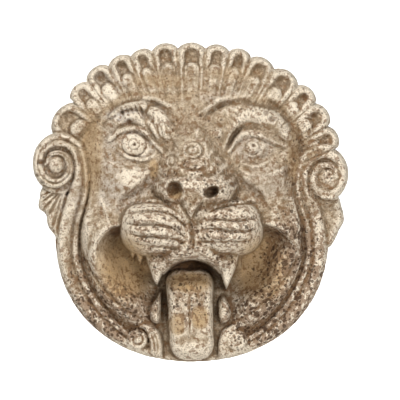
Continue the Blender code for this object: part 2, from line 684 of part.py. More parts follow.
LEFT_LEAF = [
    (-60, -183), (-68, -192), (-77, -206), (-82, -222), (-79, -238), (-68, -244), (-60, -238), (-59, -210),
]  # fmt: skip
RIGHT_LEAF = [
    (58, -194), (66, -190), (75, -200), (81, -216), (80, -232), (72, -242), (61, -242), (56, -228),
    (55, -208),
]  # fmt: skip


def teeth(h, x, z):
    fang(h, x, z, (-69, -98), (-67, -167), 22, 146, 138)
    fang(h, x, z, (76, -100), (71, -174), 22, 146, 138)
    fang(h, x, z, (-116, -92), (-114, -116), 8, 118, 104)
    fang(h, x, z, (-101, -98), (-100, -128), 9, 120, 104)
    for leaf, high in ((LEFT_LEAF, 98), (RIGHT_LEAF, 94)):
        swell(h, x, z, curve(leaf, 4, closed=True), 10, 58, high, blend=3)


def beard(h, x, z):
    """The small scrolls and locks that end the rim beside the tongue."""
    for side, centre, wear in ((-1, (-107, -276), 0.0), (1, (93, -278), 0.8)):
        q = oval(x, z, centre, (21, 20))
        inside = q < 1
        h[inside] = np.maximum(h, 72 + 18 * clamp(1 - q**2) ** 0.3)[inside]
        coil = [
            (centre[0] + side * r * math.cos(a), centre[1] + r * math.sin(a))
            for a, r in zip(np.linspace(0.6, 9.0, 20), np.linspace(15, 4, 20))
        ]
        ridge(h, x, z, curve(coil, 3), 4.2, -8 * (1 - 0.6 * wear), 8)
        lock = [(106, -252), (92, -250), (77, -262), (69, -284), (69, -314)]
        near, d, _, share = along(x, z, curve(lock) * np.array([side, 1]), 16)
        half = 3 + 10 * smoothstep(0.0, 0.5, share)
        top = 68 + (22 - 8 * wear) * round_top(d / half, 0.5) * smoothstep(-0.1, 0.3, share)
        top -= 4 * (1 - wear) * hump((d - 0.25 * half) / 3.4) * smoothstep(0.2, 0.5, share)
        h[near] = np.where(d < half, np.maximum(h[near], top), h[near])


def carve(x, z):
    """Height of the finished carving above the back."""
    shape = np.shape(x)
    x, z = np.ravel(x).astype(float), np.ravel(z).astype(float)
    h = head_mound(x, z)
    jaw(h, x, z)
    cheeks(h, x, z)
    forehead(h, x, z)
    eyes(h, x, z)
    brows(h, x, z)
    side_locks(h, x, z)
    mouth(h, x, z)
    nose_and_bridge(h, x, z)
    cheek_folds(h, x, z)
    muzzle(h, x, z)
    nostrils(h, x, z)
    share = smoothstep(-9, 7, hairline(x, z)) * (z > 40)
    h = h * (1 - share) + mane(x, z) * share
    fans(h, x, z)
    straps(h, x, z)
    beard(h, x, z)
    teeth(h, x, z)
    tongue(h, x, z)
    edge = outline_edge(x, z)
    h = EDGE_HEIGHT + (h - EDGE_HEIGHT) * round_top(1 - clamp(edge / 12.0), 0.5)
    return h.reshape(shape), edge.reshape(shape)


# The solid
def outline_reach(directions):
    """How far the outline lies from the middle in each direction."""
    c, s = np.cos(directions), np.sin(directions)
    steps = np.arange(430.0, 150.0, -1.0)
    inside = np.array([outline_edge(r * c, r * s) > 0 for r in steps])
    first = np.argmax(inside, axis=0)
    low = steps[first]
    high = low + 1.0
    for _ in range(12):
        middle = (low + high) / 2
        within = outline_edge(middle * c, middle * s) > 0
        low = np.where(within, middle, low)
        high = np.where(within, high, middle)
    return low


def stretched_sheet(rows):
    """A square grid of points stretched to the outline."""
    a, b = np.meshgrid(np.linspace(-1, 1, rows), np.linspace(-1, 1, rows))
    wide = np.abs(a) >= np.abs(b)
    safe_a = np.where(a == 0, 1, a)
    safe_b = np.where(b == 0, 1, b)
    radius = np.where(wide, np.abs(a), np.abs(b))
    flat_turn = np.where(a >= 0, 0, math.pi) + math.pi / 4 * b / safe_a
    steep_turn = np.where(b >= 0, math.pi / 2, -math.pi / 2) - math.pi / 4 * a / safe_b
    turn = np.where(wide, flat_turn, steep_turn)
    reach = outline_reach(turn.ravel()).reshape(turn.shape)
    share = radius * (1 - 0.12 * (1 - radius) * radius)
    return reach * share * np.cos(turn), reach * share * np.sin(turn)


def worn(h, x):
    """Rounds the carving as the weather has, more on the viewer's right."""
    strength = (0.35 + 0.3 * smoothstep(-40, 200, x))[1:-1, 1:-1]
    for _ in range(WEAR_PASSES):
        around = (h[:-2, 1:-1] + h[2:, 1:-1] + h[1:-1, :-2] + h[1:-1, 2:]) / 4
        h[1:-1, 1:-1] += strength * (around - h[1:-1, 1:-1])
    return h


def clear_scene():
    for item in list(bpy.data.objects):
        bpy.data.objects.remove(item, do_unlink=True)


def stone():
    material = bpy.data.materials.new("weathered_limestone")
    material.use_nodes = True
    shader = material.node_tree.nodes["Principled BSDF"]
    shader.inputs["Base Color"].default_value = (0.56, 0.47, 0.36, 1.0)
    shader.inputs["Roughness"].default_value = 0.92
    return material


def build():
    x, z = stretched_sheet(ROWS)
    h, _ = carve(x, z)
    h = worn(h, x)
    y = EDGE_THICKNESS + (h - EDGE_HEIGHT) * (DEPTH - EDGE_THICKNESS) / (h.max() - EDGE_HEIGHT)
    x = (x - DRAWN_MIDDLE[0]) * WIDTH / DRAWN_WIDTH
    z = (z - DRAWN_MIDDLE[1]) * HEIGHT / DRAWN_HEIGHT
    sheet = bmesh.new()
    front = [
        [sheet.verts.new((x[i, j], -y[i, j], z[i, j])) for j in range(ROWS)]
        for i in range(ROWS)
    ]
    for i in range(ROWS - 1):
        for j in range(ROWS - 1):
            corners = (front[i][j], front[i][j + 1], front[i + 1][j + 1], front[i + 1][j])
            face = sheet.faces.new(corners)
            face.smooth = True
    last = ROWS - 1
    rim = [front[0][j] for j in range(last)]
    rim += [front[i][last] for i in range(last)]
    rim += [front[last][j] for j in range(last, 0, -1)]
    rim += [front[i][0] for i in range(last, 0, -1)]
    back = [sheet.verts.new((v.co.x, 0.0, v.co.z)) for v in rim]
    for k in range(len(rim)):
        n = (k + 1) % len(rim)
        sheet.faces.new((rim[n], rim[k], back[k], back[n]))
    sheet.faces.new(back)
    bmesh.ops.triangulate(sheet, faces=sheet.faces[:])
    bmesh.ops.recalc_face_normals(sheet, faces=sheet.faces[:])
    count = len(sheet.faces)
    mesh = bpy.data.meshes.new("mascaron")
    sheet.to_mesh(mesh)
    sheet.free()
    mesh.materials.append(stone())
    mascaron = bpy.data.objects.new("mascaron", mesh)
    bpy.context.scene.collection.objects.link(mascaron)
    fewer = mascaron.modifiers.new("facets", "DECIMATE")
    fewer.ratio = TRIANGLES / count


clear_scene()
build()
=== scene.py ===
"""Looks of the carved stone lion mask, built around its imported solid.

The mask is cut from one slab of soft, shelly limestone, sawn flat behind so that it can be set against a
wall. All of it is one stone, so the first sections each carve one region of a single surface: x and z run
across the face in millimetres, and h is the height of the stone above its flat back.
"""
import math

import bpy
import numpy as np
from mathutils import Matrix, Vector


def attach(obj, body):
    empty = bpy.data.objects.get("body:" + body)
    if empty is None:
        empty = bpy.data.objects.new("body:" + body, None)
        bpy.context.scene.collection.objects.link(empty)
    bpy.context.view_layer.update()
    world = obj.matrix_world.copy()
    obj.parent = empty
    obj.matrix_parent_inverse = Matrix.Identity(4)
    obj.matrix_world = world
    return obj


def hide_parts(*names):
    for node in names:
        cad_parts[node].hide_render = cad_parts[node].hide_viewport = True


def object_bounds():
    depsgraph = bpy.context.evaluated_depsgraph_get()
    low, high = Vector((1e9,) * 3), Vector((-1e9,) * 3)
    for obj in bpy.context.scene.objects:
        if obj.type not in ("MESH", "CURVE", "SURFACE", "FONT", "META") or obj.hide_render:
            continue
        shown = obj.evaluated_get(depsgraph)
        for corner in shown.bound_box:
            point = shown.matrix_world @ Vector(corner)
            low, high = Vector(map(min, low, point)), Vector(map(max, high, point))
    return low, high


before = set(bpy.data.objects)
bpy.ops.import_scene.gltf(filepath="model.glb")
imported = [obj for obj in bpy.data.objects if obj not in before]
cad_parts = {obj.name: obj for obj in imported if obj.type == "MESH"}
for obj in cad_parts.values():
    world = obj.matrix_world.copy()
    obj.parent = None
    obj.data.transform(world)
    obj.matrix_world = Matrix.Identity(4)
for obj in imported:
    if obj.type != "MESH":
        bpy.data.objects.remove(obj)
cad_low, cad_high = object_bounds()

# The mane
# Fourteen round-ended locks stand round the brow like a ruff, each cut with a raised border and a
# tongue of hair inside it. Frost has rounded them, most of all at the viewer's right.
MANE_CENTRE = (3.0, -21.0)
LOBE_NOTCHES = np.radians(
    [-60.3, -47.2, -38.7, -29.9, -21.7, -14.2, -5.2, 4.9, 13.2, 20.8, 30.0, 40.1, 48.4, 57.5, 66.0]
)
LOBE_TIPS = np.array([338, 345, 350, 347, 343, 343, 340, 340, 342, 341, 343, 343, 339, 331], float)
LOBE_WEAR = np.array([0.45, 0.5, 0.2, 0.25, 0.25, 0.2, 0.25, 0.5, 0.4, 0.4, 0.4, 0.7, 0.75, 0.9])


def clamp(v, low=0.0, high=1.0):
    return np.minimum(np.maximum(v, low), high)


def smoothstep(low, high, v):
    t = clamp((v - low) / (high - low))
    return t * t * (3 - 2 * t)


def soft_max(a, b, blend):
    share = clamp(0.5 + 0.5 * (a - b) / blend)
    return b + (a - b) * share + blend * share * (1 - share)


def soft_min(a, b, blend):
    return -soft_max(-a, -b, blend)


def hump(q):
    """1 at q = 0 falling smoothly to 0 at q = 1 and beyond."""
    return (1 - clamp(np.abs(q)) ** 2) ** 2


def lobe_frame(x, z):
    """Number of the lobe, place across it, distance from the mane's centre along it and half-width there."""
    dx, dz = x - MANE_CENTRE[0], z - MANE_CENTRE[1]
    angle = np.arctan2(dx, dz)
    number = np.clip(np.searchsorted(LOBE_NOTCHES, angle) - 1, 0, len(LOBE_TIPS) - 1)
    low, high = LOBE_NOTCHES[number], LOBE_NOTCHES[number + 1]
    off = angle - (low + high) / 2
    radius = np.maximum(np.hypot(dx, dz), 60.0)
    half = radius * np.sin((high - low) / 2)
    return number, radius * np.sin(off), radius * np.cos(off), half


def lobe_edge(number, lateral, reach, half):
    tip = LOBE_TIPS[number]
    head = 1.3 * np.sin((LOBE_NOTCHES[number + 1] - LOBE_NOTCHES[number]) / 2) * tip
    return np.where(reach > tip - head, head - np.hypot(lateral, reach - tip + head), head)


def mane_edge(x, z):
    """Distance inside the edge of the mane, negative outside it."""
    number, lateral, reach, half = lobe_frame(x, z)
    edge = lobe_edge(number, lateral, reach, half)
    beyond = np.abs(lateral) - half
    return np.where(beyond > 0.5, -beyond, edge)


def hairline(x, z):
    """Distance outside the line where the mane meets the forehead."""
    dx, dz = x - MANE_CENTRE[0], z - MANE_CENTRE[1]
    angle = np.arctan2(dx, dz)
    line = 232 + 42 * np.sin(1.9 * clamp(np.abs(angle), 0, 1.2)) ** 2 + 5 * np.sin(11 * angle + 0.6)
    return np.hypot(dx, dz) - line


def mane(x, z):
    number, lateral, reach, half = lobe_frame(x, z)
    wear = LOBE_WEAR[number]
    below_tip = LOBE_TIPS[number] - reach
    level = 100 - 14 * smoothstep(250, 340, reach) + 2.0 * np.sin(2.1 * number)
    level += 15 * smoothstep(292, 236, reach) * smoothstep(200, 90, np.abs(x))
    edge = soft_min(lobe_edge(number, lateral, reach, half), half - np.abs(lateral), 0.6 * half)
    roll = np.sin(math.pi * clamp(edge / 13, 0, 1)) ** 0.6
    divider = 0.85 * smoothstep(12, 40, below_tip) * smoothstep(13, 4, edge)
    h = level - 9 + 12 * (1 - 0.5 * wear) * np.maximum(roll, divider)
    h -= 6 * (1 - 0.4 * wear) * hump((below_tip - 27) / 14) * hump(lateral / (0.6 * half))
    tongue_half = 0.66 * half
    tongue_top = 40 + tongue_half
    tongue_edge = tongue_half - np.hypot(lateral, np.maximum(tongue_top - below_tip, 0))
    rise = clamp(tongue_edge / 10)
    tongue = level - 8 + (13 - 4 * wear) * np.sqrt(1 - (1 - rise) ** 2)
    h = np.where(tongue_edge > 0, np.maximum(h, tongue), h)
    return h - 4.5 * (1 - 0.5 * wear) * hump((tongue_edge + 0.5) / 3.5)


# The rim, its volutes and the leaves under them
# A moulded strap, a broad roll with a reed beside it, rises from the chin on each side and coils into a
# volute at the ear. A small fluted leaf spreads below each volute. The right-hand pair is badly worn.
CHIN_CENTRE = (3.0, -67.0)
CHIN_HALF_WIDTH = 274.0
CHIN_DROP = 254.0
CHIN_SQUARENESS = 2.15
LEFT_VOLUTE = {"centre": (-263.0, 77.0), "reach": (54.0, 61.0), "eye": (-268.0, 74.0), "wear": 0.0}
RIGHT_VOLUTE = {"centre": (265.0, 55.0), "reach": (52.0, 57.0), "eye": (272.0, 50.0), "wear": 0.8}
LEFT_FAN = {
    "pivot": (-249.0, 34.0),
    "side": -1,
    "wear": 0.0,
    "reach": [
        (-15, 28), (0, 44), (18, 55), (30, 64), (41, 72), (57, 74), (68, 92), (77, 106), (82, 118),
        (95, 118),
    ],  # fmt: skip
}
RIGHT_FAN = {
    "pivot": (246.0, 14.0),
    "side": 1,
    "wear": 0.85,
    "reach": [
        (-15, 30), (0, 45), (8, 53), (21, 60), (31, 71), (42, 82), (54, 88), (63, 98), (71, 109),
        (95, 118),
    ],  # fmt: skip
}


def round_top(q, power=0.5):
    """Round profile with steep sides: 1 at q = 0, 0 at q = 1 and beyond."""
    return clamp(1 - np.abs(q) ** 2) ** power


def oval(x, z, centre, reach, turn=0.0, squareness=2.0):
    """0 at the centre of an oval, 1 on its edge."""
    c, s = math.cos(turn), math.sin(turn)
    dx, dz = x - centre[0], z - centre[1]
    u = np.abs(dx * c + dz * s) / reach[0]
    w = np.abs(dz * c - dx * s) / reach[1]
    return (u**squareness + w**squareness) ** (1 / squareness)


def curve(points, steps=6, closed=False):
    """A smooth curve through the points."""
    p = np.array(points, float)
    if closed:
        before, after = np.roll(p, 1, 0), np.roll(p, -1, 0)
        after2 = np.roll(p, -2, 0)
    else:
        ends = np.vstack([2 * p[0] - p[1], p, 2 * p[-1] - p[-2]])
        before, p, after, after2 = ends[:-3], ends[1:-2], ends[2:-1], ends[3:]
    out = []
    for i in range(len(p)):
        for t in np.arange(steps) / steps:
            out.append(
                0.5
                * (
                    2 * p[i]
                    + (after[i] - before[i]) * t
                    + (2 * before[i] - 5 * p[i] + 4 * after[i] - after2[i]) * t**2
                    + (3 * p[i] - before[i] - 3 * after[i] + after2[i]) * t**3
                )
            )
    out.append(out[0] if closed else after[-1])
    return np.array(out)


def along(x, z, path, reach):
    """Points near the path, with their distance from it, their side of it (1 is left) and share along it."""
    low, high = path.min(0) - reach, path.max(0) + reach
    near = np.flatnonzero((x > low[0]) & (x < high[0]) & (z > low[1]) & (z < high[1]))
    px, pz = x[near], z[near]
    lengths = np.hypot(*(path[1:] - path[:-1]).T)
    starts = np.concatenate([[0], np.cumsum(lengths)])
    best = np.full(len(near), 1e9)
    side = np.ones(len(near))
    share = np.zeros(len(near))
    for (ax, az), (bx, bz), length, start in zip(path[:-1], path[1:], lengths, starts):
        if length < 1e-9:
            continue
        ux, uz = (bx - ax) / length, (bz - az) / length
        t = clamp((px - ax) * ux + (pz - az) * uz, 0, length)
        dx, dz = px - ax - t * ux, pz - az - t * uz
        d = dx * dx + dz * dz
        closer = d < best
        best[closer] = d[closer]
        side[closer] = np.sign(ux * dz - uz * dx)[closer]
        share[closer] = ((start + t) / starts[-1])[closer]
    side[side == 0] = 1
    return near, np.sqrt(best), side, share


def chin_edge(x, z):
    """Distance inside the chin's outline."""
    q = oval(x, z, CHIN_CENTRE, (CHIN_HALF_WIDTH, CHIN_DROP), squareness=CHIN_SQUARENESS)
    return np.hypot(x - CHIN_CENTRE[0], z - CHIN_CENTRE[1]) * (1 / np.maximum(q, 1e-6) - 1)


def volute_edge(x, z, volute):
    q = oval(x, z, volute["centre"], volute["reach"])
    return (1 - q) * min(volute["reach"])


def fan_edge(x, z, fan):
    """Distance inside the leaf that fans out below a volute."""
    dx, dz = (x - fan["pivot"][0]) * fan["side"], z - fan["pivot"][1]
    angle = np.arctan2(-dz, dx)
    reach = np.interp(np.degrees(angle), *zip(*fan["reach"]), left=-20, right=-20)
    reach = reach + 3.0 * (1 - fan["wear"]) * (np.abs(np.sin(angle * 7)) - 0.6)
    return reach - np.hypot(dx, dz)


def outline_edge(x, z):
    """Distance inside the outline of the block, negative outside it."""
    edge = chin_edge(x, z)
    edge = np.maximum(edge, np.where(z > 60, mane_edge(x, z), -1e3))
    edge = np.maximum(edge, (1 - oval(x, z, (0, 55), (250, 240))) * 240)
    for volute in (LEFT_VOLUTE, RIGHT_VOLUTE):
        edge = np.maximum(edge, volute_edge(x, z, volute))
    for fan in (LEFT_FAN, RIGHT_FAN):
        edge = np.maximum(edge, fan_edge(x, z, fan))
    return edge


# Turn in degrees, distance from the eye and half-width of the strap as it coils
COIL = (
    (0, 48, 16.0), (45, 51, 15.5), (90, 50, 14.5), (135, 42, 13.0), (180, 37, 12.0), (225, 38, 10.5),
    (270, 38, 9.5), (315, 33, 8.0), (360, 27, 7.0), (420, 25, 6.0), (480, 23, 4.5), (540, 20, 3.0),
)  # fmt: skip


def scroll_path(side, volute):
    """Line and half-width of a strap: up the chin's rim, over the volute and round its eye."""
    points = []
    for turn in np.radians(np.linspace(-72, -8, 9)):
        c, s = math.cos(turn), math.sin(turn)
        q = oval(c, s, (0, 0), (CHIN_HALF_WIDTH, CHIN_DROP), squareness=CHIN_SQUARENESS)
        half = 23 - 9 * smoothstep(-0.5, -1.25, turn)
        reach = 1 / q - half - 1
        points.append((CHIN_CENTRE[0] + side * c * reach, CHIN_CENTRE[1] + s * reach, half))
    points.append((CHIN_CENTRE[0] + side * 243, -46, 23))
    points.append((CHIN_CENTRE[0] + side * 231, -4, 22))
    points.append((CHIN_CENTRE[0] + side * 223, 34 if side < 0 else 22, 19))
    strap = len(points)
    for turn, radius, half in COIL:
        a = math.radians(turn)
        points.append(
            (volute["eye"][0] - side * radius * math.cos(a), volute["eye"][1] + radius * math.sin(a), half)
        )
    return curve(points, 4), 4 * strap


def straps(h, x, z):
    for side, volute in ((-1, LEFT_VOLUTE), (1, RIGHT_VOLUTE)):
        path, start = scroll_path(side, volute)
        near, d, left, share = along(x, z, path[:, :2], 32)
        steps = np.hypot(*(path[1:, :2] - path[:-1, :2]).T)
        places = np.concatenate([[0], np.cumsum(steps)]) / steps.sum()
        half = np.interp(share, places, path[:, 2])
        coil = smoothstep(places[start] - 0.05, places[start] + 0.1, share)
        inner = d / half * left * side
        split = 0.28 - 0.3 * coil
        torus = round_top((inner - (split - 1) / 2) / ((split + 1) / 2), 0.5)
        reed = round_top((inner - (split + 0.95) / 2) / ((0.95 - split) / 2), 0.5)
        profile = np.maximum(torus, 0.88 * reed)
        crest = 76 + 26 * smoothstep(0.3, 0.6, share)
        low = crest - 14 + 2 * coil
        wear = volute["wear"] * coil
        top = low + (crest - low) * ((1 - wear) * profile + wear * 0.7)
        ground = oval(x, z, volute["centre"], volute["reach"]) < 1
        from_eye = np.hypot(x - volute["eye"][0], z - volute["eye"][1])
        h[ground] = 86 + 5 * smoothstep(40, 20, from_eye[ground])
        inside = np.abs(inner) < 1
        h[near] = np.where(inside, np.where(coil > 0.9, np.maximum(top, h[near]), top), h[near])
        h[near] -= 5 * hump((np.abs(inner) - 1.05) / 0.2) * (1 - 0.5 * wear)
        q = oval(x, z, volute["eye"], (17, 18))
        eye = q < 1
        h[eye] = 87 + (20 - 15 * volute["wear"]) * clamp(1 - q[eye] ** 2) ** 0.42


def fans(h, x, z):
    for fan in (LEFT_FAN, RIGHT_FAN):
        edge = fan_edge(x, z, fan)
        dx, dz = (x - fan["pivot"][0]) * fan["side"], z - fan["pivot"][1]
        reach = np.hypot(dx, dz)
        angle = np.arctan2(-dz, dx)
        ribs = np.abs(np.sin(angle * 15)) ** 0.8 * smoothstep(0.15, 0.5, angle)
        spread = smoothstep(8, 40, reach)
        top = 82 - 10 * smoothstep(10, 90, reach) + 8 * (1 - fan["wear"]) * (ribs - 0.6) * spread
        inside = edge > 0
        h[inside] = top[inside]


# The head
# A broad lion's face, modelled in high relief on a domed ground: heavy brows, hooded eyes with drilled
# pupils, a wrinkled nose and two whisker pads. It leans a little, as the carver left it.
GROUND_HEIGHT = 64.0
TEMPLE_RISE = 22.0
MOUND_HEIGHT = 144.0
MOUTH_FLOOR = 44.0


def ridge(h, x, z, path, half_width, height, fade=4.0):
    """Raises a soft line along the path, or cuts one. A small fade gives it fine ends."""
    near, d, _, share = along(x, z, path, half_width)
    end = 1 - np.abs(2 * share - 1) ** fade
    h[near] += height * end * hump(d / (half_width * (0.35 + 0.65 * end)))


def mass(h, x, z, centre, reach, low, high, power=0.5, turn=0.0, squareness=2.0, blend=6.0):
    """Adds a rounded mass that rises from low to high."""
    q = oval(x, z, centre, reach, turn, squareness)
    near = q < 1.25
    top = low + (high - low) * clamp(1 - q[near] ** 2) ** power
    top = np.where(q[near] < 1, top, low - 200 * (q[near] - 1))
    h[near] = soft_max(h[near], top, blend)


def head_mound(x, z):
    q = oval(x, z, (0, 5), (235, 262))
    ground = GROUND_HEIGHT + TEMPLE_RISE * smoothstep(20, 120, z)
    return ground + (MOUND_HEIGHT - ground) * round_top(q, 0.55)


def region(x, z, path, reach):
    """Distance inside a closed path, negative outside it, up to the reach."""
    near, d, _, _ = along(x, z, path, reach)
    px, pz = x[near], z[near]
    crossings = np.zeros(len(near), bool)
    for (ax, az), (bx, bz) in zip(path[:-1], path[1:]):
        if az == bz:
            continue
        spans = (pz < az) != (pz < bz)
        crossings ^= spans & (px < ax + (pz - az) * (bx - ax) / (bz - az))
    out = np.full(len(x), -float(reach))
    out[near] = np.where(crossings, d, -np.minimum(d, reach))
    return out


def swell(h, x, z, path, roll, low, high, blend=5.0):
    """Raises a closed shape with a rounded edge as wide as the roll."""
    inside = region(x, z, path, roll)
    rise = clamp(inside / roll)
    top = low + (high - low) * np.sqrt(1 - (1 - rise) ** 2)
    top = np.where(inside > 0, top, low + 3 * inside)
    near = inside > -roll
    h[near] = soft_max(h[near], top[near], blend)


def forehead(h, x, z):
    folds = (
        ([(-18, 176), (-42, 190), (-70, 204), (-104, 208), (-142, 200), (-168, 186)], 11, 6),
        ([(10, 172), (32, 184), (52, 198), (74, 208), (98, 212), (120, 208)], 11, 11),
        ([(-30, 168), (-52, 184), (-84, 199), (-120, 197), (-152, 186)], 9, -5),
        ([(22, 160), (40, 176), (62, 192), (90, 198), (120, 197), (146, 190)], 12, -10),
    )
    for path, half_width, height in folds:
        ridge(h, x, z, curve(path), half_width, height, 2)
    for number in range(3):
        radius = 8 + 9 * number
        turns = np.linspace(-1.2, 1.2, 7)
        arc = [(5 + radius * 1.35 * math.sin(a), 176 - radius * math.cos(a)) for a in turns]
        ridge(h, x, z, curve(arc, 3), 4.5, 3.5, 2)
    mass(h, x, z, (9, 150), (24, 26), 108, 128, 1.0, blend=12)


LEFT_TUFTS = [
    (-164, 166), (-154, 180), (-138, 192), (-120, 199), (-102, 202), (-88, 197), (-82, 184), (-90, 172),
    (-110, 180), (-132, 178), (-150, 168),
]  # fmt: skip
LEFT_FOLD = [(-172, 143), (-154, 158), (-134, 168), (-112, 169), (-92, 158), (-74, 138), (-56, 116)]
LEFT_KNOT = [
    (-85, 187), (-73, 192), (-61, 189), (-47, 178), (-37, 165), (-29, 151), (-25, 135), (-28, 120),
    (-43, 113), (-58, 116), (-69, 128), (-77, 143), (-84, 160), (-90, 175),
]  # fmt: skip
RIGHT_BROW = [
    (71, 104), (62, 112), (64, 128), (74, 148), (86, 168), (97, 181), (113, 189), (132, 190),
    (151, 185), (171, 176), (187, 162), (199, 144), (203, 124), (190, 118), (171, 126), (152, 137),
    (133, 149), (113, 155), (99, 146), (88, 131), (80, 112),
]  # fmt: skip


def brows(h, x, z):
    ridge(h, x, z, curve(LEFT_FOLD), 20, 17, 2)
    swell(h, x, z, curve(LEFT_TUFTS, 4, closed=True), 12, 106, 131, blend=8)
    swell(h, x, z, curve(LEFT_KNOT, 4, closed=True), 20, 106, 147, blend=8)
    cut = [(-97, 192), (-95, 172), (-88, 156), (-80, 140), (-71, 124), (-58, 110)]
    ridge(h, x, z, curve(cut), 7, -11, 2)
    h -= 8 * smoothstep(150, 190, z) * hump((x + 62) / 34) * hump((z - 186) / 26)
    for number in range(5):
        start = (-101 + 7 * number, 193 - 2 * number)
        middle = (-93 + 7 * number, 174 - 3 * number)
        end = (-80 + 6 * number, 152 - 4 * number)
        ridge(h, x, z, curve([start, middle, end]), 4.0, -6.5, 2)
    for number in range(5):
        start = (-75 + 9 * number, 178 - 5 * number - 9 * (number % 2))
        end = (-66 + 8 * number, 134 - 4 * number - 7 * (number % 3))
        middle = ((start[0] + end[0]) / 2 - 3, (start[1] + end[1]) / 2)
        ridge(h, x, z, curve([start, middle, end]), 3.6, -3.0 - 0.8 * (number % 2), 2)
    for number in range(7):
        start = (-103 - 8 * number, 200 - 3.5 * number)
        end = (-95 - 9 * number, 180 - 2 * number)
        middle = ((start[0] + end[0]) / 2 - 2, (start[1] + end[1]) / 2)
        ridge(h, x, z, curve([start, middle, end]), 3.6, -5.5, 2)
    h += 6 * hump(np.hypot(x + 108, z - 192) / 9)
    h -= 7 * hump(np.hypot(x + 122, z - 159) / 6)
    mass(h, x, z, (50, 133), (25, 30), 104, 145, 0.7, turn=-0.1, blend=10)
    swell(h, x, z, curve(RIGHT_BROW, 4, closed=True), 28, 104, 138, blend=10)
    mass(h, x, z, (158, 141), (58, 30), 100, 128, 1.0, turn=-0.4, blend=14)
    for number in range(12):
        turn = 2.75 - 0.145 * number
        c, s = math.cos(turn), math.sin(turn)
        outer = (138 + 66 * c, 112 + 78 * s)
        inner = (141 + 52 * c, 110 + 62 * s)
        depth = -5 if 4 < number < 10 else -3
        ridge(h, x, z, curve([inner, outer]), 3.2, depth, 3)
    ridge(h, x, z, curve([(68, 97), (77, 112), (85, 129), (96, 143), (112, 153)]), 8, -20, 2)
    curl = oval(x, z, (-148, 173), (14, 14))
    h -= 9 * hump((curl - 0.85) / 0.5) * smoothstep(-152, -138, x)


EYES = (
    {
        "ball": (-112, 114),
        "reach": (40, 32),
        "lid": [
            (-170, 128), (-156, 138), (-141, 148), (-122, 154), (-102, 150), (-85, 138), (-71, 120),
            (-58, 101),
        ],  # fmt: skip
        "upper": [(-158, 122), (-144, 135), (-128, 142), (-109, 143), (-92, 134), (-78, 119), (-60, 100)],
        "lower": [(-150, 110), (-136, 96), (-116, 86), (-94, 83), (-77, 90), (-63, 100)],
        "pupil": (-111, 113),
        "rings": (11, 24),
        "lower_height": 6,
    },
    {
        "ball": (123, 107),
        "reach": (39, 31),
        "lid": [
            (78, 106), (90, 128), (106, 143), (122, 148), (138, 144), (156, 132), (176, 123), (200, 114),
        ],  # fmt: skip
        "upper": [(80, 101), (90, 117), (106, 129), (124, 132), (144, 126), (166, 116), (186, 110)],
        "lower": [(85, 93), (102, 78), (126, 70), (151, 77), (172, 92)],
        "pupil": (125, 111),
        "rings": (14,),
        "lower_height": 3.5,
    },
)


def eyes(h, x, z):
    for eye in EYES:
        q = oval(x, z, eye["ball"], (76, 58))
        h -= 9 * hump(q)
        side = np.sign(eye["ball"][0])
        bulge = (eye["ball"][0] + 4 * side, eye["ball"][1] + 16)
        mass(h, x, z, bulge, (70, 46), 92, 129, 1.0, turn=-0.25 * side, blend=12)
        mass(h, x, z, eye["ball"], eye["reach"], 96, 135, 0.5, blend=4)
        upper, lid = curve(eye["upper"]), curve(eye["lid"])
        near, d, left, _ = along(x, z, upper, 11)
        h[near] += 8 * np.where(left > 0, hump(d / 12), hump(d / 3))
        ridge(h, x, z, upper - np.array([0, 5.5]), 4, -4.5, 2)
        ridge(h, x, z, lid, 4, -4.5, 2)
        ridge(h, x, z, curve(eye["lower"]), 6, eye["lower_height"], 2)
        ridge(h, x, z, curve(eye["lower"]) + np.array([0, 6.5]), 4, -2.5, 2)
        ridge(h, x, z, curve(eye["lower"]) - np.array([0, 8]), 5, -2.5, 2)
        r = np.hypot(x - eye["ball"][0], z - eye["ball"][1])
        for reach in eye["rings"]:
            h -= 3.0 * hump((r - reach) / 3.0)
        h -= 5.5 * hump(np.hypot(x - eye["pupil"][0], z - eye["pupil"][1]) / 5.5)


def cheeks(h, x, z):
    mass(h, x, z, (-130, 42), (72, 62), 92, 143, 1.1, turn=-0.25, blend=18)
    mass(h, x, z, (138, 46), (68, 62), 92, 141, 1.1, turn=0.25, blend=18)
    valleys = (
        [(-196, 150), (-199, 110), (-198, 60), (-198, 20), (-206, -30)],
        [(208, 150), (210, 110), (206, 70), (206, 20), (214, -40)],
    )
    for path in valleys:
        ridge(h, x, z, curve(path), 26, -9, 1.5)


def side_locks(h, x, z):
    """Curls cut between each cheek and the strap."""
    for side in (-1, 1):
        for number in range(6):
            start = (side * (200 - 5 * number), 28 - 15 * number)
            middle = (side * (180 - 4 * number), 8 - 13 * number)
            end = (side * (166 - 2 * number), -18 - 9 * number)
            depth = 1.6 if side < 0 else 1.0
            lock = curve([start, middle, end])
            ridge(h, x, z, lock, 7, depth, 3)
            ridge(h, x, z, lock + np.array([2 * side, -8]), 6, -depth, 3)


NOSE_PAD = [
    (-65, 31), (-61, 46), (-45, 56), (-21, 60), (9, 58), (35, 60), (63, 58), (82, 46), (90, 27), (86, 2),
    (66, -10), (42, -14), (24, -22), (9, -32), (-6, -22), (-28, -13), (-54, -5), (-65, 10),
]  # fmt: skip


# Middle, reach and open side of the rings cut across the bridge
NOSE_RINGS = (
    ((4, 101), (22, 17), 2.6),
    ((4, 101), (11, 9), 0.4),
    ((9, 74), (27, 12), 1.3),
    ((-37, 78), (13, 13), -0.6),
    ((-37, 78), (6, 6), 2.0),
)


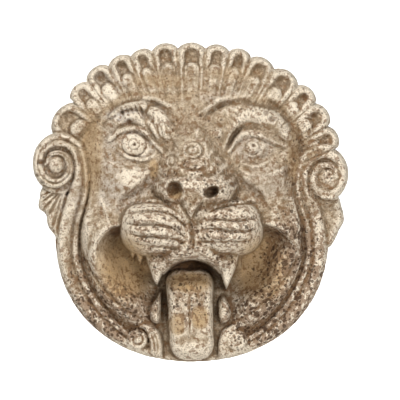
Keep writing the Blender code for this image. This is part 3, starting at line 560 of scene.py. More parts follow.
def nose_and_bridge(h, x, z):
    t = smoothstep(186, 50, z)
    half = 40 + 42 * t**1.4
    q = (x - 4) / half
    low = 104
    rise = (34 + 68 * t) * clamp(1 - q**2) ** 0.8 * smoothstep(200, 136, z) * smoothstep(10, 40, z)
    near = (np.abs(q) < 1) & (rise > 0)
    h[near] = soft_max(h[near], low + rise[near], 16)
    for middle, reach, opening in NOSE_RINGS:
        q = oval(x, z, middle, reach)
        turn = np.arctan2(z - middle[1], x - middle[0])
        share = 0.55 - 0.45 * np.cos(turn - opening)
        h -= 4.5 * share * hump((q - 1) * reach[1] / 4.5)
    for line in ([(38, 104), (52, 96), (64, 82), (74, 62)], [(-24, 124), (-34, 110), (-38, 96)]):
        ridge(h, x, z, curve(line), 6, -4.0, 2)
    ridge(h, x, z, curve([(43, 90), (60, 80), (74, 66)]), 7, 4, 2)
    front = 221 - 0.0045 * (x - 6) ** 2 - 0.55 * clamp(26 - z, 0, 60)
    swell(h, x, z, curve(NOSE_PAD, 4, closed=True), 24, 100, front, blend=14)
    mass(h, x, z, (-54, 26), (24, 30), 100, 188, 0.8, blend=16)
    mass(h, x, z, (72, 28), (28, 32), 100, 188, 0.8, blend=16)
    mass(h, x, z, (4, -16), (76, 40), 100, 196, 0.5, blend=16)


def nostrils(h, x, z):
    for centre, reach, turn, depth in (((-31, 21), (17, 20), 0.1, 46), ((41, 18), (16, 12), 0.45, 52)):
        q = oval(x, z, centre, reach, turn)
        fade = 0.35 + 0.65 * smoothstep(centre[1] - reach[1], centre[1] + 0.6 * reach[1], z)
        h -= depth * fade * clamp(1 - q**2) ** 0.7


WHISKER_LINES = {
    -1: (
        [(-129, -8), (-91, -3), (-56, -4), (-28, -18)],
        [(-136, -26), (-84, -20), (-45, -24), (-20, -40), (-4, -56)],
        [(-136, -44), (-104, -46), (-68, -46), (-32, -54), (-8, -72)],
        [(-130, -62), (-100, -68), (-60, -70), (-26, -76), (-8, -88)],
        [(-118, -80), (-86, -88), (-46, -90), (-14, -98)],
    ),
    1: (
        [(144, -2), (108, -5), (68, -9), (36, -22)],
        [(144, -26), (124, -34), (92, -38), (52, -36), (22, -40)],
        [(142, -50), (112, -58), (74, -58), (40, -54), (14, -58)],
        [(138, -72), (98, -79), (48, -79), (14, -80)],
    ),
}


SEPTUM = [(-26, 24), (28, 24), (29, 6), (18, -14), (2, -38), (-9, -20), (-21, 2)]


def front_lip(h, x, z):
    """The upper lip between the fangs, down to its arched edge."""
    arch = np.maximum(-118 - 0.0095 * (x - 3) ** 2, -148)
    near = np.flatnonzero((np.abs(x - 3) < 100) & (z < -30) & (z > arch))
    rise = clamp((z[near] - arch[near]) / 34)
    top = MOUTH_FLOOR + (180 - MOUTH_FLOOR) * np.sqrt(1 - (1 - rise) ** 2) ** 0.6
    top -= 0.011 * (x[near] - 3) ** 2
    h[near] = soft_max(h[near], top, 16)


def muzzle(h, x, z):
    mass(h, x, z, (-66, -50), (76, 60), MOUTH_FLOOR - 20, 206, 0.23, squareness=2.5, turn=0.06, blend=8)
    mass(h, x, z, (73, -50), (74, 60), MOUTH_FLOOR - 20, 204, 0.23, squareness=2.5, turn=-0.03, blend=8)
    front_lip(h, x, z)
    swell(h, x, z, curve(SEPTUM, 4, closed=True), 14, 172, 208, blend=10)
    ridge(h, x, z, curve([(27, 4), (13, -17), (-1, -39)]), 5, -11, 3)
    ridge(h, x, z, curve([(-23, 0), (-11, -20), (-1, -39)]), 5, -7, 3)
    ridge(h, x, z, curve([(-1, -30), (2, -58), (5, -84), (5, -112)]), 8, -9, 2)
    for lines in WHISKER_LINES.values():
        for line in lines:
            path = curve(line)
            ridge(h, x, z, path, 7, -7.5, 3)
            ridge(h, x, z, path + np.array([0, 9.5]), 8, 4.0, 3)
            ridge(h, x, z, path + np.array([3, 11.0]), 3.6, -3.5, 3)


def cheek_folds(h, x, z):
    for path in (
        [(-62, 84), (-72, 58), (-88, 33), (-110, 15), (-134, 0), (-148, -32)],
        [(76, 86), (90, 60), (102, 34), (124, 17), (144, 0), (156, -34)],
    ):
        ridge(h, x, z, curve(path), 17, -13, 1.6)


# The mouth
# The jaws are hollowed out deep between the rim and the whisker pads. The tongue hangs down over the
# rim between four fangs, and two small curls of beard end the strap beside it.
MOUTH = [
    (-139, -47), (-167, -58), (-186, -84), (-190, -121), (-180, -162), (-156, -198), (-122, -226),
    (-84, -243), (3, -250), (84, -243), (128, -229), (166, -205), (196, -174), (212, -136), (210, -95),
    (186, -60), (147, -44), (70, -30), (3, -30), (-70, -30),
]  # fmt: skip


def jaw(h, x, z):
    """The rolled lower lip between the rim and the mouth."""
    edge = chin_edge(x, z)
    dx, dz = x - CHIN_CENTRE[0], z - CHIN_CENTRE[1]
    down = smoothstep(-0.1, 0.95, -dz / np.maximum(np.hypot(dx, dz), 1))
    below = smoothstep(40, -60, z)
    h += (24 + 6 * down) * smoothstep(40, 66, edge) * smoothstep(150, 96, edge) * below
    gap = smoothstep(128, 66, np.abs(x - 1)) * smoothstep(-160, -225, z)
    h -= (h - 60) * gap


def mouth(h, x, z):
    depth = region(x, z, curve(MOUTH, 12, closed=True), 90)
    lip = hump((depth + 5) / 11)
    h += 5 * lip * smoothstep(-30, -60, z) * (1 - 0.9 * smoothstep(-110, -170, z))
    floor = MOUTH_FLOOR - 12 * hump((z + 130) / 40) * hump(x / 60) + 12 * smoothstep(70, 140, np.abs(x))
    soft = smoothstep(-62, -125, z)
    wall = 1 - clamp(depth / (30 + (34 + 20 * smoothstep(-20, 60, x)) * soft))
    level = floor + (h - floor) * (wall**1.9 * (1 - soft) + wall**2 * (3 - 2 * wall) * soft)
    h[:] = np.where(depth > 0, np.minimum(level, h), h)


def tongue(h, x, z):
    top_z, foot_z = -136, -317
    t = clamp((top_z - z) / (top_z - foot_z))
    centre = -3 + 7 * t
    half = 48 - 2 * smoothstep(0.2, 0.5, t)
    top_end = clamp((top_z - z) / 26)
    foot = clamp((z - foot_z) / 38)
    width = np.sqrt(1 - (1 - top_end) ** 2) ** 0.45 * np.sqrt(1 - (1 - foot) ** 2) ** 0.6
    across = (x - centre) / half
    q = np.abs(across) / np.maximum(width, 0.02)
    crown = 90 + 30 * smoothstep(0, 0.2, t) - 12 * smoothstep(0.3, 0.75, t)
    crown += 5 * hump((t - 0.86) / 0.11) - 20 * smoothstep(0.9, 1.0, t)
    low = 44
    top = low + (crown - low) * clamp(1 - q**8) ** 0.5
    zone = (z < top_z) & (z > foot_z) & (q < 1)
    top += 2.5 * hump((q - 0.84) / 0.14) * smoothstep(0.1, 0.3, t) * (1 - 0.6 * (x < centre))
    h[zone] = np.maximum(h, top)[zone]
    ridge(h, x, z, curve([(-2, -192), (-2, -225), (-1, -262)]), 3.5, -5, 3)
    for cx, cz in ((-27, -243), (18, -231)):
        h -= 2.0 * smoothstep(1.0, 0.8, oval(x, z, (cx, cz), (17, 24), squareness=5))
    curl = [(-36, -268), (-30, -296), (-10, -309), (18, -307), (36, -290), (42, -270)]
    ridge(h, x, z, curve(curl), 5, -4, 3)


def fang(h, x, z, base, tip, half, low, high, root=0.3):
    """A cone of a tooth, at one height along its crest at the base and another at the tip."""
    axis = np.array(tip, float) - np.array(base, float)
    length = np.hypot(*axis)
    axis = axis / length
    t = ((x - base[0]) * axis[0] + (z - base[1]) * axis[1]) / length
    lateral = (x - base[0]) * axis[1] - (z - base[1]) * axis[0]
    width = half * clamp(1 - clamp(t, 0, 1) ** 1.25) ** 0.85
    q = np.abs(lateral) / np.maximum(width, 0.5)
    zone = (t > -root) & (t < 1) & (q < 1)
    top = low + (high - low) * t - 0.9 * width * (1 - round_top(q)) - 10 * smoothstep(0.8, 1.0, t)
    top -= 60 * smoothstep(0.0, -root, t)
    h[zone] = soft_max(h[zone], top[zone], 9.0)


LEFT_LEAF = [
    (-60, -183), (-68, -192), (-77, -206), (-82, -222), (-79, -238), (-68, -244), (-60, -238), (-59, -210),
]  # fmt: skip
RIGHT_LEAF = [
    (58, -194), (66, -190), (75, -200), (81, -216), (80, -232), (72, -242), (61, -242), (56, -228),
    (55, -208),
]  # fmt: skip


def teeth(h, x, z):
    fang(h, x, z, (-69, -98), (-67, -167), 22, 146, 138)
    fang(h, x, z, (76, -100), (71, -174), 22, 146, 138)
    fang(h, x, z, (-116, -92), (-114, -116), 8, 118, 104)
    fang(h, x, z, (-101, -98), (-100, -128), 9, 120, 104)
    for leaf, high in ((LEFT_LEAF, 98), (RIGHT_LEAF, 94)):
        swell(h, x, z, curve(leaf, 4, closed=True), 10, 58, high, blend=3)


def beard(h, x, z):
    """The small scrolls and locks that end the rim beside the tongue."""
    for side, centre, wear in ((-1, (-107, -276), 0.0), (1, (93, -278), 0.8)):
        q = oval(x, z, centre, (21, 20))
        inside = q < 1
        h[inside] = np.maximum(h, 72 + 18 * clamp(1 - q**2) ** 0.3)[inside]
        coil = [
            (centre[0] + side * r * math.cos(a), centre[1] + r * math.sin(a))
            for a, r in zip(np.linspace(0.6, 9.0, 20), np.linspace(15, 4, 20))
        ]
        ridge(h, x, z, curve(coil, 3), 4.2, -8 * (1 - 0.6 * wear), 8)
        lock = [(106, -252), (92, -250), (77, -262), (69, -284), (69, -314)]
        near, d, _, share = along(x, z, curve(lock) * np.array([side, 1]), 16)
        half = 3 + 10 * smoothstep(0.0, 0.5, share)
        top = 68 + (22 - 8 * wear) * round_top(d / half, 0.5) * smoothstep(-0.1, 0.3, share)
        top -= 4 * (1 - wear) * hump((d - 0.25 * half) / 3.4) * smoothstep(0.2, 0.5, share)
        h[near] = np.where(d < half, np.maximum(h[near], top), h[near])


# The finished stone
# The regions are laid over each other as the carver cut them, from the ground of the head forward. The
# surface is one closed skin, because it is one stone: a fine sheet over the face, walls round its edge
# and a flat sawn back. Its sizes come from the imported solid.
EDGE_HEIGHT = 52.0
SHEET_ROWS = 288
WALL_RINGS = 7
WEAR_PASSES = 3
SHEET_MIDDLE = (0.0, -1.0)
DRAWN_WIDTH = 634.0
DRAWN_HEIGHT = 640.0
EDGE_THICKNESS = 0.054


def carve(x, z):
    """Height of the finished carving above the back."""
    shape = np.shape(x)
    x, z = np.ravel(x).astype(float), np.ravel(z).astype(float)
    h = head_mound(x, z)
    jaw(h, x, z)
    cheeks(h, x, z)
    forehead(h, x, z)
    eyes(h, x, z)
    brows(h, x, z)
    side_locks(h, x, z)
    mouth(h, x, z)
    nose_and_bridge(h, x, z)
    cheek_folds(h, x, z)
    muzzle(h, x, z)
    nostrils(h, x, z)
    share = smoothstep(-9, 7, hairline(x, z)) * (z > 40)
    h = h * (1 - share) + mane(x, z) * share
    fans(h, x, z)
    straps(h, x, z)
    beard(h, x, z)
    teeth(h, x, z)
    tongue(h, x, z)
    edge = outline_edge(x, z)
    h = EDGE_HEIGHT + (h - EDGE_HEIGHT) * round_top(1 - clamp(edge / 12.0), 0.5)
    return h.reshape(shape)


def outline_reach(directions):
    """How far the outline lies from the middle in each direction."""
    c, s = np.cos(directions), np.sin(directions)
    steps = np.arange(430.0, 150.0, -1.0)
    inside = np.array([outline_edge(r * c, r * s) > 0 for r in steps])
    first = np.argmax(inside, axis=0)
    low = steps[first]
    high = low + 1.0
    for _ in range(12):
        middle = (low + high) / 2
        within = outline_edge(middle * c, middle * s) > 0
        low = np.where(within, middle, low)
        high = np.where(within, high, middle)
    return low


def stretched_sheet(rows):
    """A square grid of points stretched to the outline."""
    a, b = np.meshgrid(np.linspace(-1, 1, rows), np.linspace(-1, 1, rows))
    wide = np.abs(a) >= np.abs(b)
    safe_a = np.where(a == 0, 1, a)
    safe_b = np.where(b == 0, 1, b)
    radius = np.where(wide, np.abs(a), np.abs(b))
    flat_turn = np.where(a >= 0, 0, math.pi) + math.pi / 4 * b / safe_a
    steep_turn = np.where(b >= 0, math.pi / 2, -math.pi / 2) - math.pi / 4 * a / safe_b
    turn = np.where(wide, flat_turn, steep_turn)
    reach = outline_reach(turn.ravel()).reshape(turn.shape)
    share = radius * (1 - 0.12 * (1 - radius) * radius)
    return reach * share * np.cos(turn), reach * share * np.sin(turn)


def averaged(field, passes, strength=1.0):
    """Smooths a field over the sheet by averaging each point with its neighbours."""
    field = field.copy()
    for _ in range(passes):
        around = (field[:-2, 1:-1] + field[2:, 1:-1] + field[1:-1, :-2] + field[1:-1, 2:]) / 4
        field[1:-1, 1:-1] += strength * (around - field[1:-1, 1:-1])
    return field


sheet_x, sheet_z = stretched_sheet(SHEET_ROWS)
sheet_h = carve(sheet_x, sheet_z)
wear = (0.18 + 0.5 * smoothstep(-40, 220, sheet_x))[1:-1, 1:-1]
sheet_h = averaged(sheet_h, WEAR_PASSES, wear)

# Chisel strokes finer than the solid's facets: locks, brow hair, whisker hatching and rings
flat_x, flat_z, flat_h = sheet_x.ravel(), sheet_z.ravel(), sheet_h.ravel().copy()
strokes = []


def mane_line(turn, reaches):
    return [(MANE_CENTRE[0] + r * math.sin(turn), MANE_CENTRE[1] + r * math.cos(turn)) for r in reaches]


for number, notch in enumerate(LOBE_NOTCHES):
    strokes.append((mane_line(notch, (238, 262, 288, 312)), 4.0, -3.0))
    if number < len(LOBE_TIPS):
        middle = (notch + LOBE_NOTCHES[number + 1]) / 2
        for turn in (middle - 0.034, middle + 0.034):
            strokes.append((mane_line(turn, (240, 258, 276, 292)), 3.0, -1.8))
for side, lines in WHISKER_LINES.items():
    for line in lines:
        whisker = curve(line)
        strokes.append((line, 4.0, -2.5))
        for x, z in whisker[2:-2:2]:
            strokes.append(([(x, z + 1), (x - 2 * side, z + 5), (x - 5 * side, z + 9)], 2.6, -1.6))
for number in range(9):
    x, z = -70 - 9 * number, 197 - 1.2 * number
    strokes.append(([(x, z), (x + 6, z - 9), (x + 13, z - 17)], 3.0, -2.2))
    strokes.append(([(x - 14, z - 24), (x - 7, z - 30), (x + 1, z - 35)], 2.6, -1.5))
    x, z = -60 + 4 * number, 184 - 8 * number
    strokes.append(([(x - 10, z - 4), (x, z - 12), (x + 6, z - 24)], 2.8, -2.2))
    x, z = 100 + 11 * number, 184 - 0.75 * (number - 2) ** 2
    strokes.append(([(x, z + 3), (x - 5, z - 7), (x - 8, z - 17)], 3.0, -2.4))
for eye in EYES:
    for drop in (14, 22):
        strokes.append(([(x, z - drop) for x, z in eye["lower"]], 3.4, -1.4))
    strokes.append((eye["upper"], 3.0, -2.5))
for number in range(6):
    x, z = 74 + 4 * number, 116 + 12 * number
    strokes.append(([(x + 10, z - 8), (x, z - 4), (x - 8, z + 4)], 2.6, -1.8))
for line, half_width, height in strokes:
    ridge(flat_h, flat_x, flat_z, curve(line), half_width, height, 4)
for middle, reach, opening in NOSE_RINGS:
    q = oval(flat_x, flat_z, middle, reach)
    turn = np.arctan2(flat_z - middle[1], flat_x - middle[0])
    flat_h -= 3.0 * (0.6 - 0.4 * np.cos(turn - opening)) * hump((q - 1) * reach[1] / 3.4)
for eye in EYES:
    r = np.hypot(flat_x - eye["ball"][0], flat_z - eye["ball"][1])
    for reach in eye["rings"]:
        flat_h -= 1.8 * hump((r - reach) / 3.0)
    flat_h -= 3.0 * hump(np.hypot(flat_x - eye["pupil"][0], flat_z - eye["pupil"][1]) / 4.5)
sheet_h = flat_h.reshape(sheet_h.shape)

# Hollows hold dirt and ochre, and crests are rubbed pale, so both are kept for the finish; the finish also
# uses them to paint shade into hollows and creases and to lighten crests
broad = averaged(sheet_h, 60)
middling = averaged(sheet_h, 20)
fine = averaged(sheet_h, 5)
hollow = 0.35 * clamp((broad - sheet_h) / 14, -1, 1) + 0.65 * clamp((middling - sheet_h) / 4, -1, 1)
crease = clamp((fine - sheet_h) / 1.1, -1, 1)


def patches(places):
    """Share of a stain or of painted shade over ovals, each given by its middle x and z, half-width,
    half-height and share.
    """
    total = np.zeros(sheet_x.shape)
    for px, pz, reach_x, reach_z, strength in places:
        q = oval(sheet_x, sheet_z, (px, pz), (reach_x, reach_z))
        total = np.maximum(total, strength * smoothstep(1.25, 0.6, q))
    return total


ochre = patches([
    (-133, -134, 56, 72, 1.0),
    (144, -134, 58, 72, 0.9),
    (-2, -160, 48, 22, 1.0),
    (-27, -243, 17, 24, 0.8),
    (19, -231, 20, 24, 0.9),
    (-198, 92, 24, 100, 0.6),
    (204, 95, 13, 60, 0.5),
    (-29, 14, 16, 10, 0.9),
    (-73, 65, 10, 20, 0.8),
    (90, 255, 60, 14, 0.3),
    (-60, 240, 60, 14, 0.4),
])
ochre = np.maximum(ochre, 0.25 * hump(hairline(sheet_x, sheet_z) / 12) * (sheet_z > 60))
# Dark umber stains, together with painted shade in the drilled pupils, the hole in the brow, the tops of the
# nostrils and the gap under the upper lip
umber_and_hole_shade = patches([
    (0, -128, 44, 11, 1.0),
    (-150, -58, 12, 12, 0.9),
    (-111, 113, 3.5, 3.5, 1.0),
    (125, 111, 3, 3, 0.7),
    (-122, 159, 5, 5, 1.0),
    (-77, 64, 5, 5, 0.8),
    (229, 209, 7, 8, 1.0),
    (245, 173, 7, 6, 0.9),
    (161, 163, 8, 6, 0.8),
    (84, 34, 7, 6, 0.8),
    (-30, 34, 14, 5, 0.9),
    (46, 26, 12, 5, 0.9),
    (190, 60, 6, 12, 0.6),
    (150, 176, 6, 5, 0.6),
    (-299, 79, 7, 6, 1.0),
    (-305, 53, 6, 4, 0.7),
    (-295, 39, 6, 4, 0.7),
])
lichen = 0.35 + patches([
    (205, -130, 70, 120, 0.6),
    (160, -230, 100, 70, 0.65),
    (-160, -225, 100, 66, 0.6),
    (-215, -160, 40, 60, 0.4),
    (5, 40, 90, 50, 0.3),
    (-50, -45, 80, 60, 0.3),
    (60, -45, 80, 60, 0.35),
    (4, -110, 100, 40, 0.4),
    (0, 150, 70, 30, 0.1),
    (235, 60, 60, 120, 0.25),
    (-10, -200, 50, 60, 0.3),
])
crust = patches([
    (-90, 197, 12, 10, 1.0),
    (-200, 215, 60, 30, 0.5),
    (240, 200, 50, 50, 0.5),
    (300, 60, 36, 40, 0.5),
    (8, 40, 34, 14, 0.8),
    (-74, -52, 70, 50, 1.0),
    (80, -52, 68, 50, 1.0),
    (4, -105, 60, 16, 0.7),
    (-62, 160, 26, 34, 0.4),
    (140, 170, 60, 18, 0.5),
    (-112, 108, 30, 24, 0.6),
    (-110, 48, 40, 18, 0.5),
    (-66, -140, 18, 30, 0.7),
    (72, -145, 18, 30, 0.7),
    (215, -130, 70, 110, 0.5),
    (150, -240, 110, 70, 0.6),
    (-150, -235, 90, 60, 0.4),
    (0, -230, 46, 90, 0.35),
])
grey = patches([
    (-112, 112, 46, 34, 0.7),
    (124, 108, 44, 30, 0.5),
    (-130, 172, 44, 16, 1.0),
    (-110, 44, 50, 30, 0.6),
    (-66, 160, 18, 40, 0.5),
    (-156, 96, 30, 60, 0.5),
    (-140, 20, 60, 44, 0.6),
    (-240, 20, 30, 70, 0.6),
    (-180, 240, 60, 40, 0.5),
    (-290, 90, 30, 40, 0.6),
    (60, 210, 50, 14, 0.5),
    (150, 40, 50, 40, 0.3),
])

depth = cad_high.y - cad_low.y
sheet_y = EDGE_THICKNESS + (sheet_h - EDGE_HEIGHT) * (depth - EDGE_THICKNESS) / (sheet_h.max() - EDGE_HEIGHT)
face_x = (sheet_x - SHEET_MIDDLE[0]) * (cad_high.x - cad_low.x) / DRAWN_WIDTH
face_z = (sheet_z - SHEET_MIDDLE[1]) * (cad_high.z - cad_low.z) / DRAWN_HEIGHT
last = SHEET_ROWS - 1
numbers = np.arange(SHEET_ROWS * SHEET_ROWS).reshape(SHEET_ROWS, SHEET_ROWS)
rim = np.concatenate([numbers[0, :last], numbers[:last, last], numbers[last, :0:-1], numbers[:0:-1, 0]])
points = [np.column_stack([face_x.ravel(), -sheet_y.ravel(), face_z.ravel()])]
openness = [np.ones(SHEET_ROWS * SHEET_ROWS)]
for ring in range(1, WALL_RINGS + 1):
    share = ring / WALL_RINGS
    edge_points = points[0][rim].copy()
    edge_points[:, 1] *= 1 - share
    points.append(edge_points)
    openness.append(np.full(len(rim), 1.0 if ring < WALL_RINGS else 0.0))
corners = numbers[:-1, :-1].ravel()
across = numbers[:-1, 1:].ravel()
above = numbers[1:, 1:].ravel()
up = numbers[1:, :-1].ravel()
faces = np.column_stack([corners, across, above, up]).tolist()
ring_before = rim
for ring in range(WALL_RINGS):
    ring_after = SHEET_ROWS * SHEET_ROWS + ring * len(rim) + np.arange(len(rim))
    quads = np.column_stack([np.roll(ring_before, -1), ring_before, ring_after, np.roll(ring_after, -1)])
    faces += quads.tolist()
    ring_before = ring_after
faces.append(ring_before.tolist())

stone_mesh = bpy.data.meshes.new("carved_mask")
stone_mesh.from_pydata(np.vstack(points).tolist(), [], faces)
stone_mesh.polygons.foreach_set("use_smooth", [True] * (len(faces) - 1) + [False])
mask = bpy.data.objects.new("carved_mask", stone_mesh)
bpy.context.scene.collection.objects.link(mask)
stains_and_shade_masks = {
    "hollow": hollow,
    "crease": crease,
    "ochre": ochre,
    "umber_and_hole_shade": umber_and_hole_shade,
    "lichen": lichen,
    "crust": crust,
    "grey": grey,
}
for name, field in stains_and_shade_masks.items():
    values = np.concatenate([field.ravel()] + [field.ravel()[rim]] * WALL_RINGS)
    layer = stone_mesh.attributes.new(name, "FLOAT", "POINT")
    layer.data.foreach_set("value", values)
layer = stone_mesh.attributes.new("weathered", "FLOAT", "POINT")
layer.data.foreach_set("value", np.concatenate(openness))


# The limestone's finish
# Cream stone under a grey-white crust, dirt, ochre and painted shade in the hollows, a painted highlight
# on the crests, painted shade in the drilled holes, brown blotches and small dark spots of lichen, and
# open pores a millimetre or two across. Nothing on it is glossy.
CREAM = (0.66, 0.55, 0.405, 1.0)
TAN = (0.27, 0.192, 0.115, 1.0)
CRUST = (0.84, 0.745, 0.60, 1.0)
GREY_CRUST = (0.58, 0.53, 0.475, 1.0)
# Dark brown used for the dirt in pits and for the painted shade in hollows and creases
DIRT_AND_SHADE = (0.13, 0.085, 0.045, 1.0)
OCHRE = (0.62, 0.42, 0.205, 1.0)
# Dark umber for the stains and for the painted shade in holes and under the lip
UMBER_AND_HOLE_SHADE = (0.11, 0.055, 0.024, 1.0)
SPECK = (0.11, 0.068, 0.038, 1.0)
LICHEN_BROWN = (0.19, 0.10, 0.045, 1.0)
LICHEN_DARK = (0.07, 0.038, 0.021, 1.0)

limestone = bpy.data.materials.new("weathered_limestone")
limestone.use_nodes = True
nodes = limestone.node_tree.nodes
links = limestone.node_tree.links
shader = nodes["Principled BSDF"]
place = nodes.new("ShaderNodeTexCoord").outputs["Object"]


def attribute(name):
    node = nodes.new("ShaderNodeAttribute")
    node.attribute_name = name
    return node.outputs["Fac"]


def noise(scale, detail, roughness=0.6):
    node = nodes.new("ShaderNodeTexNoise")
    node.inputs["Scale"].default_value = scale
    node.inputs["Detail"].default_value = detail
    node.inputs["Roughness"].default_value = roughness
    links.new(place, node.inputs["Vector"])
    return node.outputs["Fac"]


def cells(scale, distortion):
    """Distance from the middle of the nearest cell, of cells shaken a little out of round."""
    shaken = nodes.new("ShaderNodeVectorMath")
    shaken.operation = "MULTIPLY_ADD"
    shake = nodes.new("ShaderNodeTexNoise")
    shake.inputs["Scale"].default_value = 2 * scale
    links.new(place, shake.inputs["Vector"])
    links.new(shake.outputs["Color"], shaken.inputs[0])
    shaken.inputs[1].default_value = (distortion / scale,) * 3
    links.new(place, shaken.inputs[2])
    node = nodes.new("ShaderNodeTexVoronoi")
    node.inputs["Scale"].default_value = scale
    links.new(shaken.outputs["Vector"], node.inputs["Vector"])
    return node.outputs["Distance"], node.outputs["Color"]


def maths(operation, a, b=0.0, limit=False):
    node = nodes.new("ShaderNodeMath")
    node.operation = operation
    node.use_clamp = limit
    for socket, value in zip(node.inputs, (a, b)):
        if isinstance(value, float):
            socket.default_value = value
        else:
            links.new(value, socket)
    return node.outputs["Value"]


def plus(a, b):
    return maths("ADD", a, b)


def times(a, b, limit=False):
    return maths("MULTIPLY", a, b, limit)


def step(value, low, high):
    """0 at low and below, 1 at high and above, with a soft step between them."""
    node = nodes.new("ShaderNodeMapRange")
    node.interpolation_type = "SMOOTHSTEP"
    node.inputs["From Min"].default_value = low
    node.inputs["From Max"].default_value = high
    links.new(value, node.inputs["Value"])
    return node.outputs["Result"]


def mixed(share, below, above):
    node = nodes.new("ShaderNodeMix")
    node.data_type = "RGBA"
    links.new(share, node.inputs[0])
    for socket, value in ((node.inputs[6], below), (node.inputs[7], above)):
        if isinstance(value, tuple):
            socket.default_value = value
        else:
            links.new(value, socket)
    return node.outputs[2]


hollow_share = attribute("hollow")
crease_share = attribute("crease")
lichen_share = attribute("lichen")
patch_noise = noise(14.0, 4.0)
mottle = noise(75.0, 5.0, 0.75)
grain = noise(380.0, 3.0, 0.8)
speckle = noise(170.0, 4.0, 0.8)
colour = mixed(step(plus(mottle, grain), 0.86, 1.16), TAN, CREAM)
colour = mixed(times(attribute("grey"), step(mottle, 0.35, 0.6)), colour, GREY_CRUST)

# Pale crust and a painted highlight on what stands proud, dirt and painted shade in what lies deep
# Painted highlight: where the hollow and crease measures are low, crests are pushed towards the pale crust,
# added to the real crust patches
speckle_and_crest_highlight = maths("SUBTRACT", speckle, plus(hollow_share, crease_share))
crust_and_highlight = plus(times(speckle_and_crest_highlight, 0.15), times(attribute("crust"), 0.45))
crust_and_highlight = plus(crust_and_highlight, times(plus(patch_noise, mottle), 0.5))
colour = mixed(times(step(crust_and_highlight, 0.58, 0.9), 0.9), colour, CRUST)
# Speckled dirt everywhere, plus painted shade that darkens hollows and creases and lightens crests
dirt_and_shade = plus(times(hollow_share, 0.2), times(crease_share, 0.31))
dirt_and_shade = plus(dirt_and_shade, times(maths("SUBTRACT", speckle, 0.5), 2.2))
colour = mixed(times(step(dirt_and_shade, 0.05, 0.6), 0.75), colour, DIRT_AND_SHADE)
washed = times(attribute("ochre"), plus(times(mottle, 1.2), 0.3), True)
colour = mixed(washed, colour, mixed(step(grain, 0.35, 0.6), TAN, OCHRE))
# Umber stains and the painted shade of the holes, the nostril tops and the gap under the lip
stained_and_shaded = times(attribute("umber_and_hole_shade"), plus(speckle, 0.4), True)
colour = mixed(stained_and_shaded, colour, UMBER_AND_HOLE_SHADE)

# Fine specks of dirt over everything, fewer where ochre or crust lies
specks = step(noise(380.0, 2.0, 0.7), 0.52, 0.6)
clean = plus(times(attribute("ochre"), 0.35), times(attribute("grey"), 0.45))
clean = plus(clean, times(attribute("crust"), 0.25))
colour = mixed(times(specks, maths("SUBTRACT", 0.72, clean), True), colour, SPECK)

# Brown blotches and small dark spots of lichen
blotch = plus(times(lichen_share, 0.2), noise(105.0, 3.0, 0.7))
colour = mixed(times(step(blotch, 0.61, 0.68), 0.75), colour, LICHEN_BROWN)
for scale, share in ((78.0, 0.8), (150.0, 1.0)):
    spot_distance, spot_colour = cells(scale, 0.8)
    spot_size = times(lichen_share, plus(spot_colour, -0.15))
    spots = step(maths("SUBTRACT", times(spot_size, share), spot_distance), 0.0, 0.09)
    colour = mixed(times(spots, 0.85), colour, LICHEN_DARK)
pitted = step(attribute("pit"), 0.25, 0.9)
colour = mixed(times(pitted, 0.5), colour, DIRT_AND_SHADE)
links.new(colour, shader.inputs["Base Color"])
shader.inputs["Roughness"].default_value = 0.93
shader.inputs["Specular IOR Level"].default_value = 0.25

# Pores and grain too fine for the surface itself
pore_distance, _ = cells(420.0, 0.4)
relief = plus(grain, times(step(pore_distance, 0.15, 0.4), 0.35))
bump = nodes.new("ShaderNodeBump")
bump.inputs["Distance"].default_value = 0.0016
bump.inputs["Strength"].default_value = 0.9
links.new(relief, bump.inputs["Height"])
links.new(bump.outputs["Normal"], shader.inputs["Normal"])


# Weathering
# Rain has eaten the surface unevenly and opened pits and pockets in it, over the face and the walls
# but not the back. They follow the whole surface, so a node tree makes them in the mesh itself.
PIT_SIZE = 0.0085
PIT_DEPTH = 0.0014
SWELL_SIZE = 0.022
SWELL_DEPTH = 0.0013
ROUGH_SIZE = 0.0065
ROUGH_DEPTH = 0.0007

weathering = bpy.data.node_groups.new("weathering", "GeometryNodeTree")
weathering.is_modifier = True
weathering.interface.new_socket("Stone", in_out="INPUT", socket_type="NodeSocketGeometry")
weathering.interface.new_socket("Stone", in_out="OUTPUT", socket_type="NodeSocketGeometry")
inputs = (
    ("Pit size", PIT_SIZE),
    ("Pit depth", PIT_DEPTH),
    ("Swell size", SWELL_SIZE),
    ("Swell depth", SWELL_DEPTH),
    ("Rough size", ROUGH_SIZE),
    ("Rough depth", ROUGH_DEPTH),
    ("Seed", 3.0),
)
for name, _ in inputs:
    weathering.interface.new_socket(name, in_out="INPUT", socket_type="NodeSocketFloat")
tree_nodes = weathering.nodes
tree_links = weathering.links
entry = tree_nodes.new("NodeGroupInput")
leaving = tree_nodes.new("NodeGroupOutput")


def tree_maths(operation, *values):
    node = tree_nodes.new("ShaderNodeMath")
    node.operation = operation
    for socket, value in zip(node.inputs, values):
        if isinstance(value, float):
            socket.default_value = value
        else:
            tree_links.new(value, socket)
    return node.outputs["Value"]


def tree_noise(size, detail):
    node = tree_nodes.new("ShaderNodeTexNoise")
    node.noise_dimensions = "4D"
    tree_links.new(entry.outputs["Seed"], node.inputs["W"])
    tree_links.new(tree_maths("DIVIDE", 1.0, size), node.inputs["Scale"])
    node.inputs["Detail"].default_value = detail
    return tree_maths("SUBTRACT", node.outputs[0], 0.5)


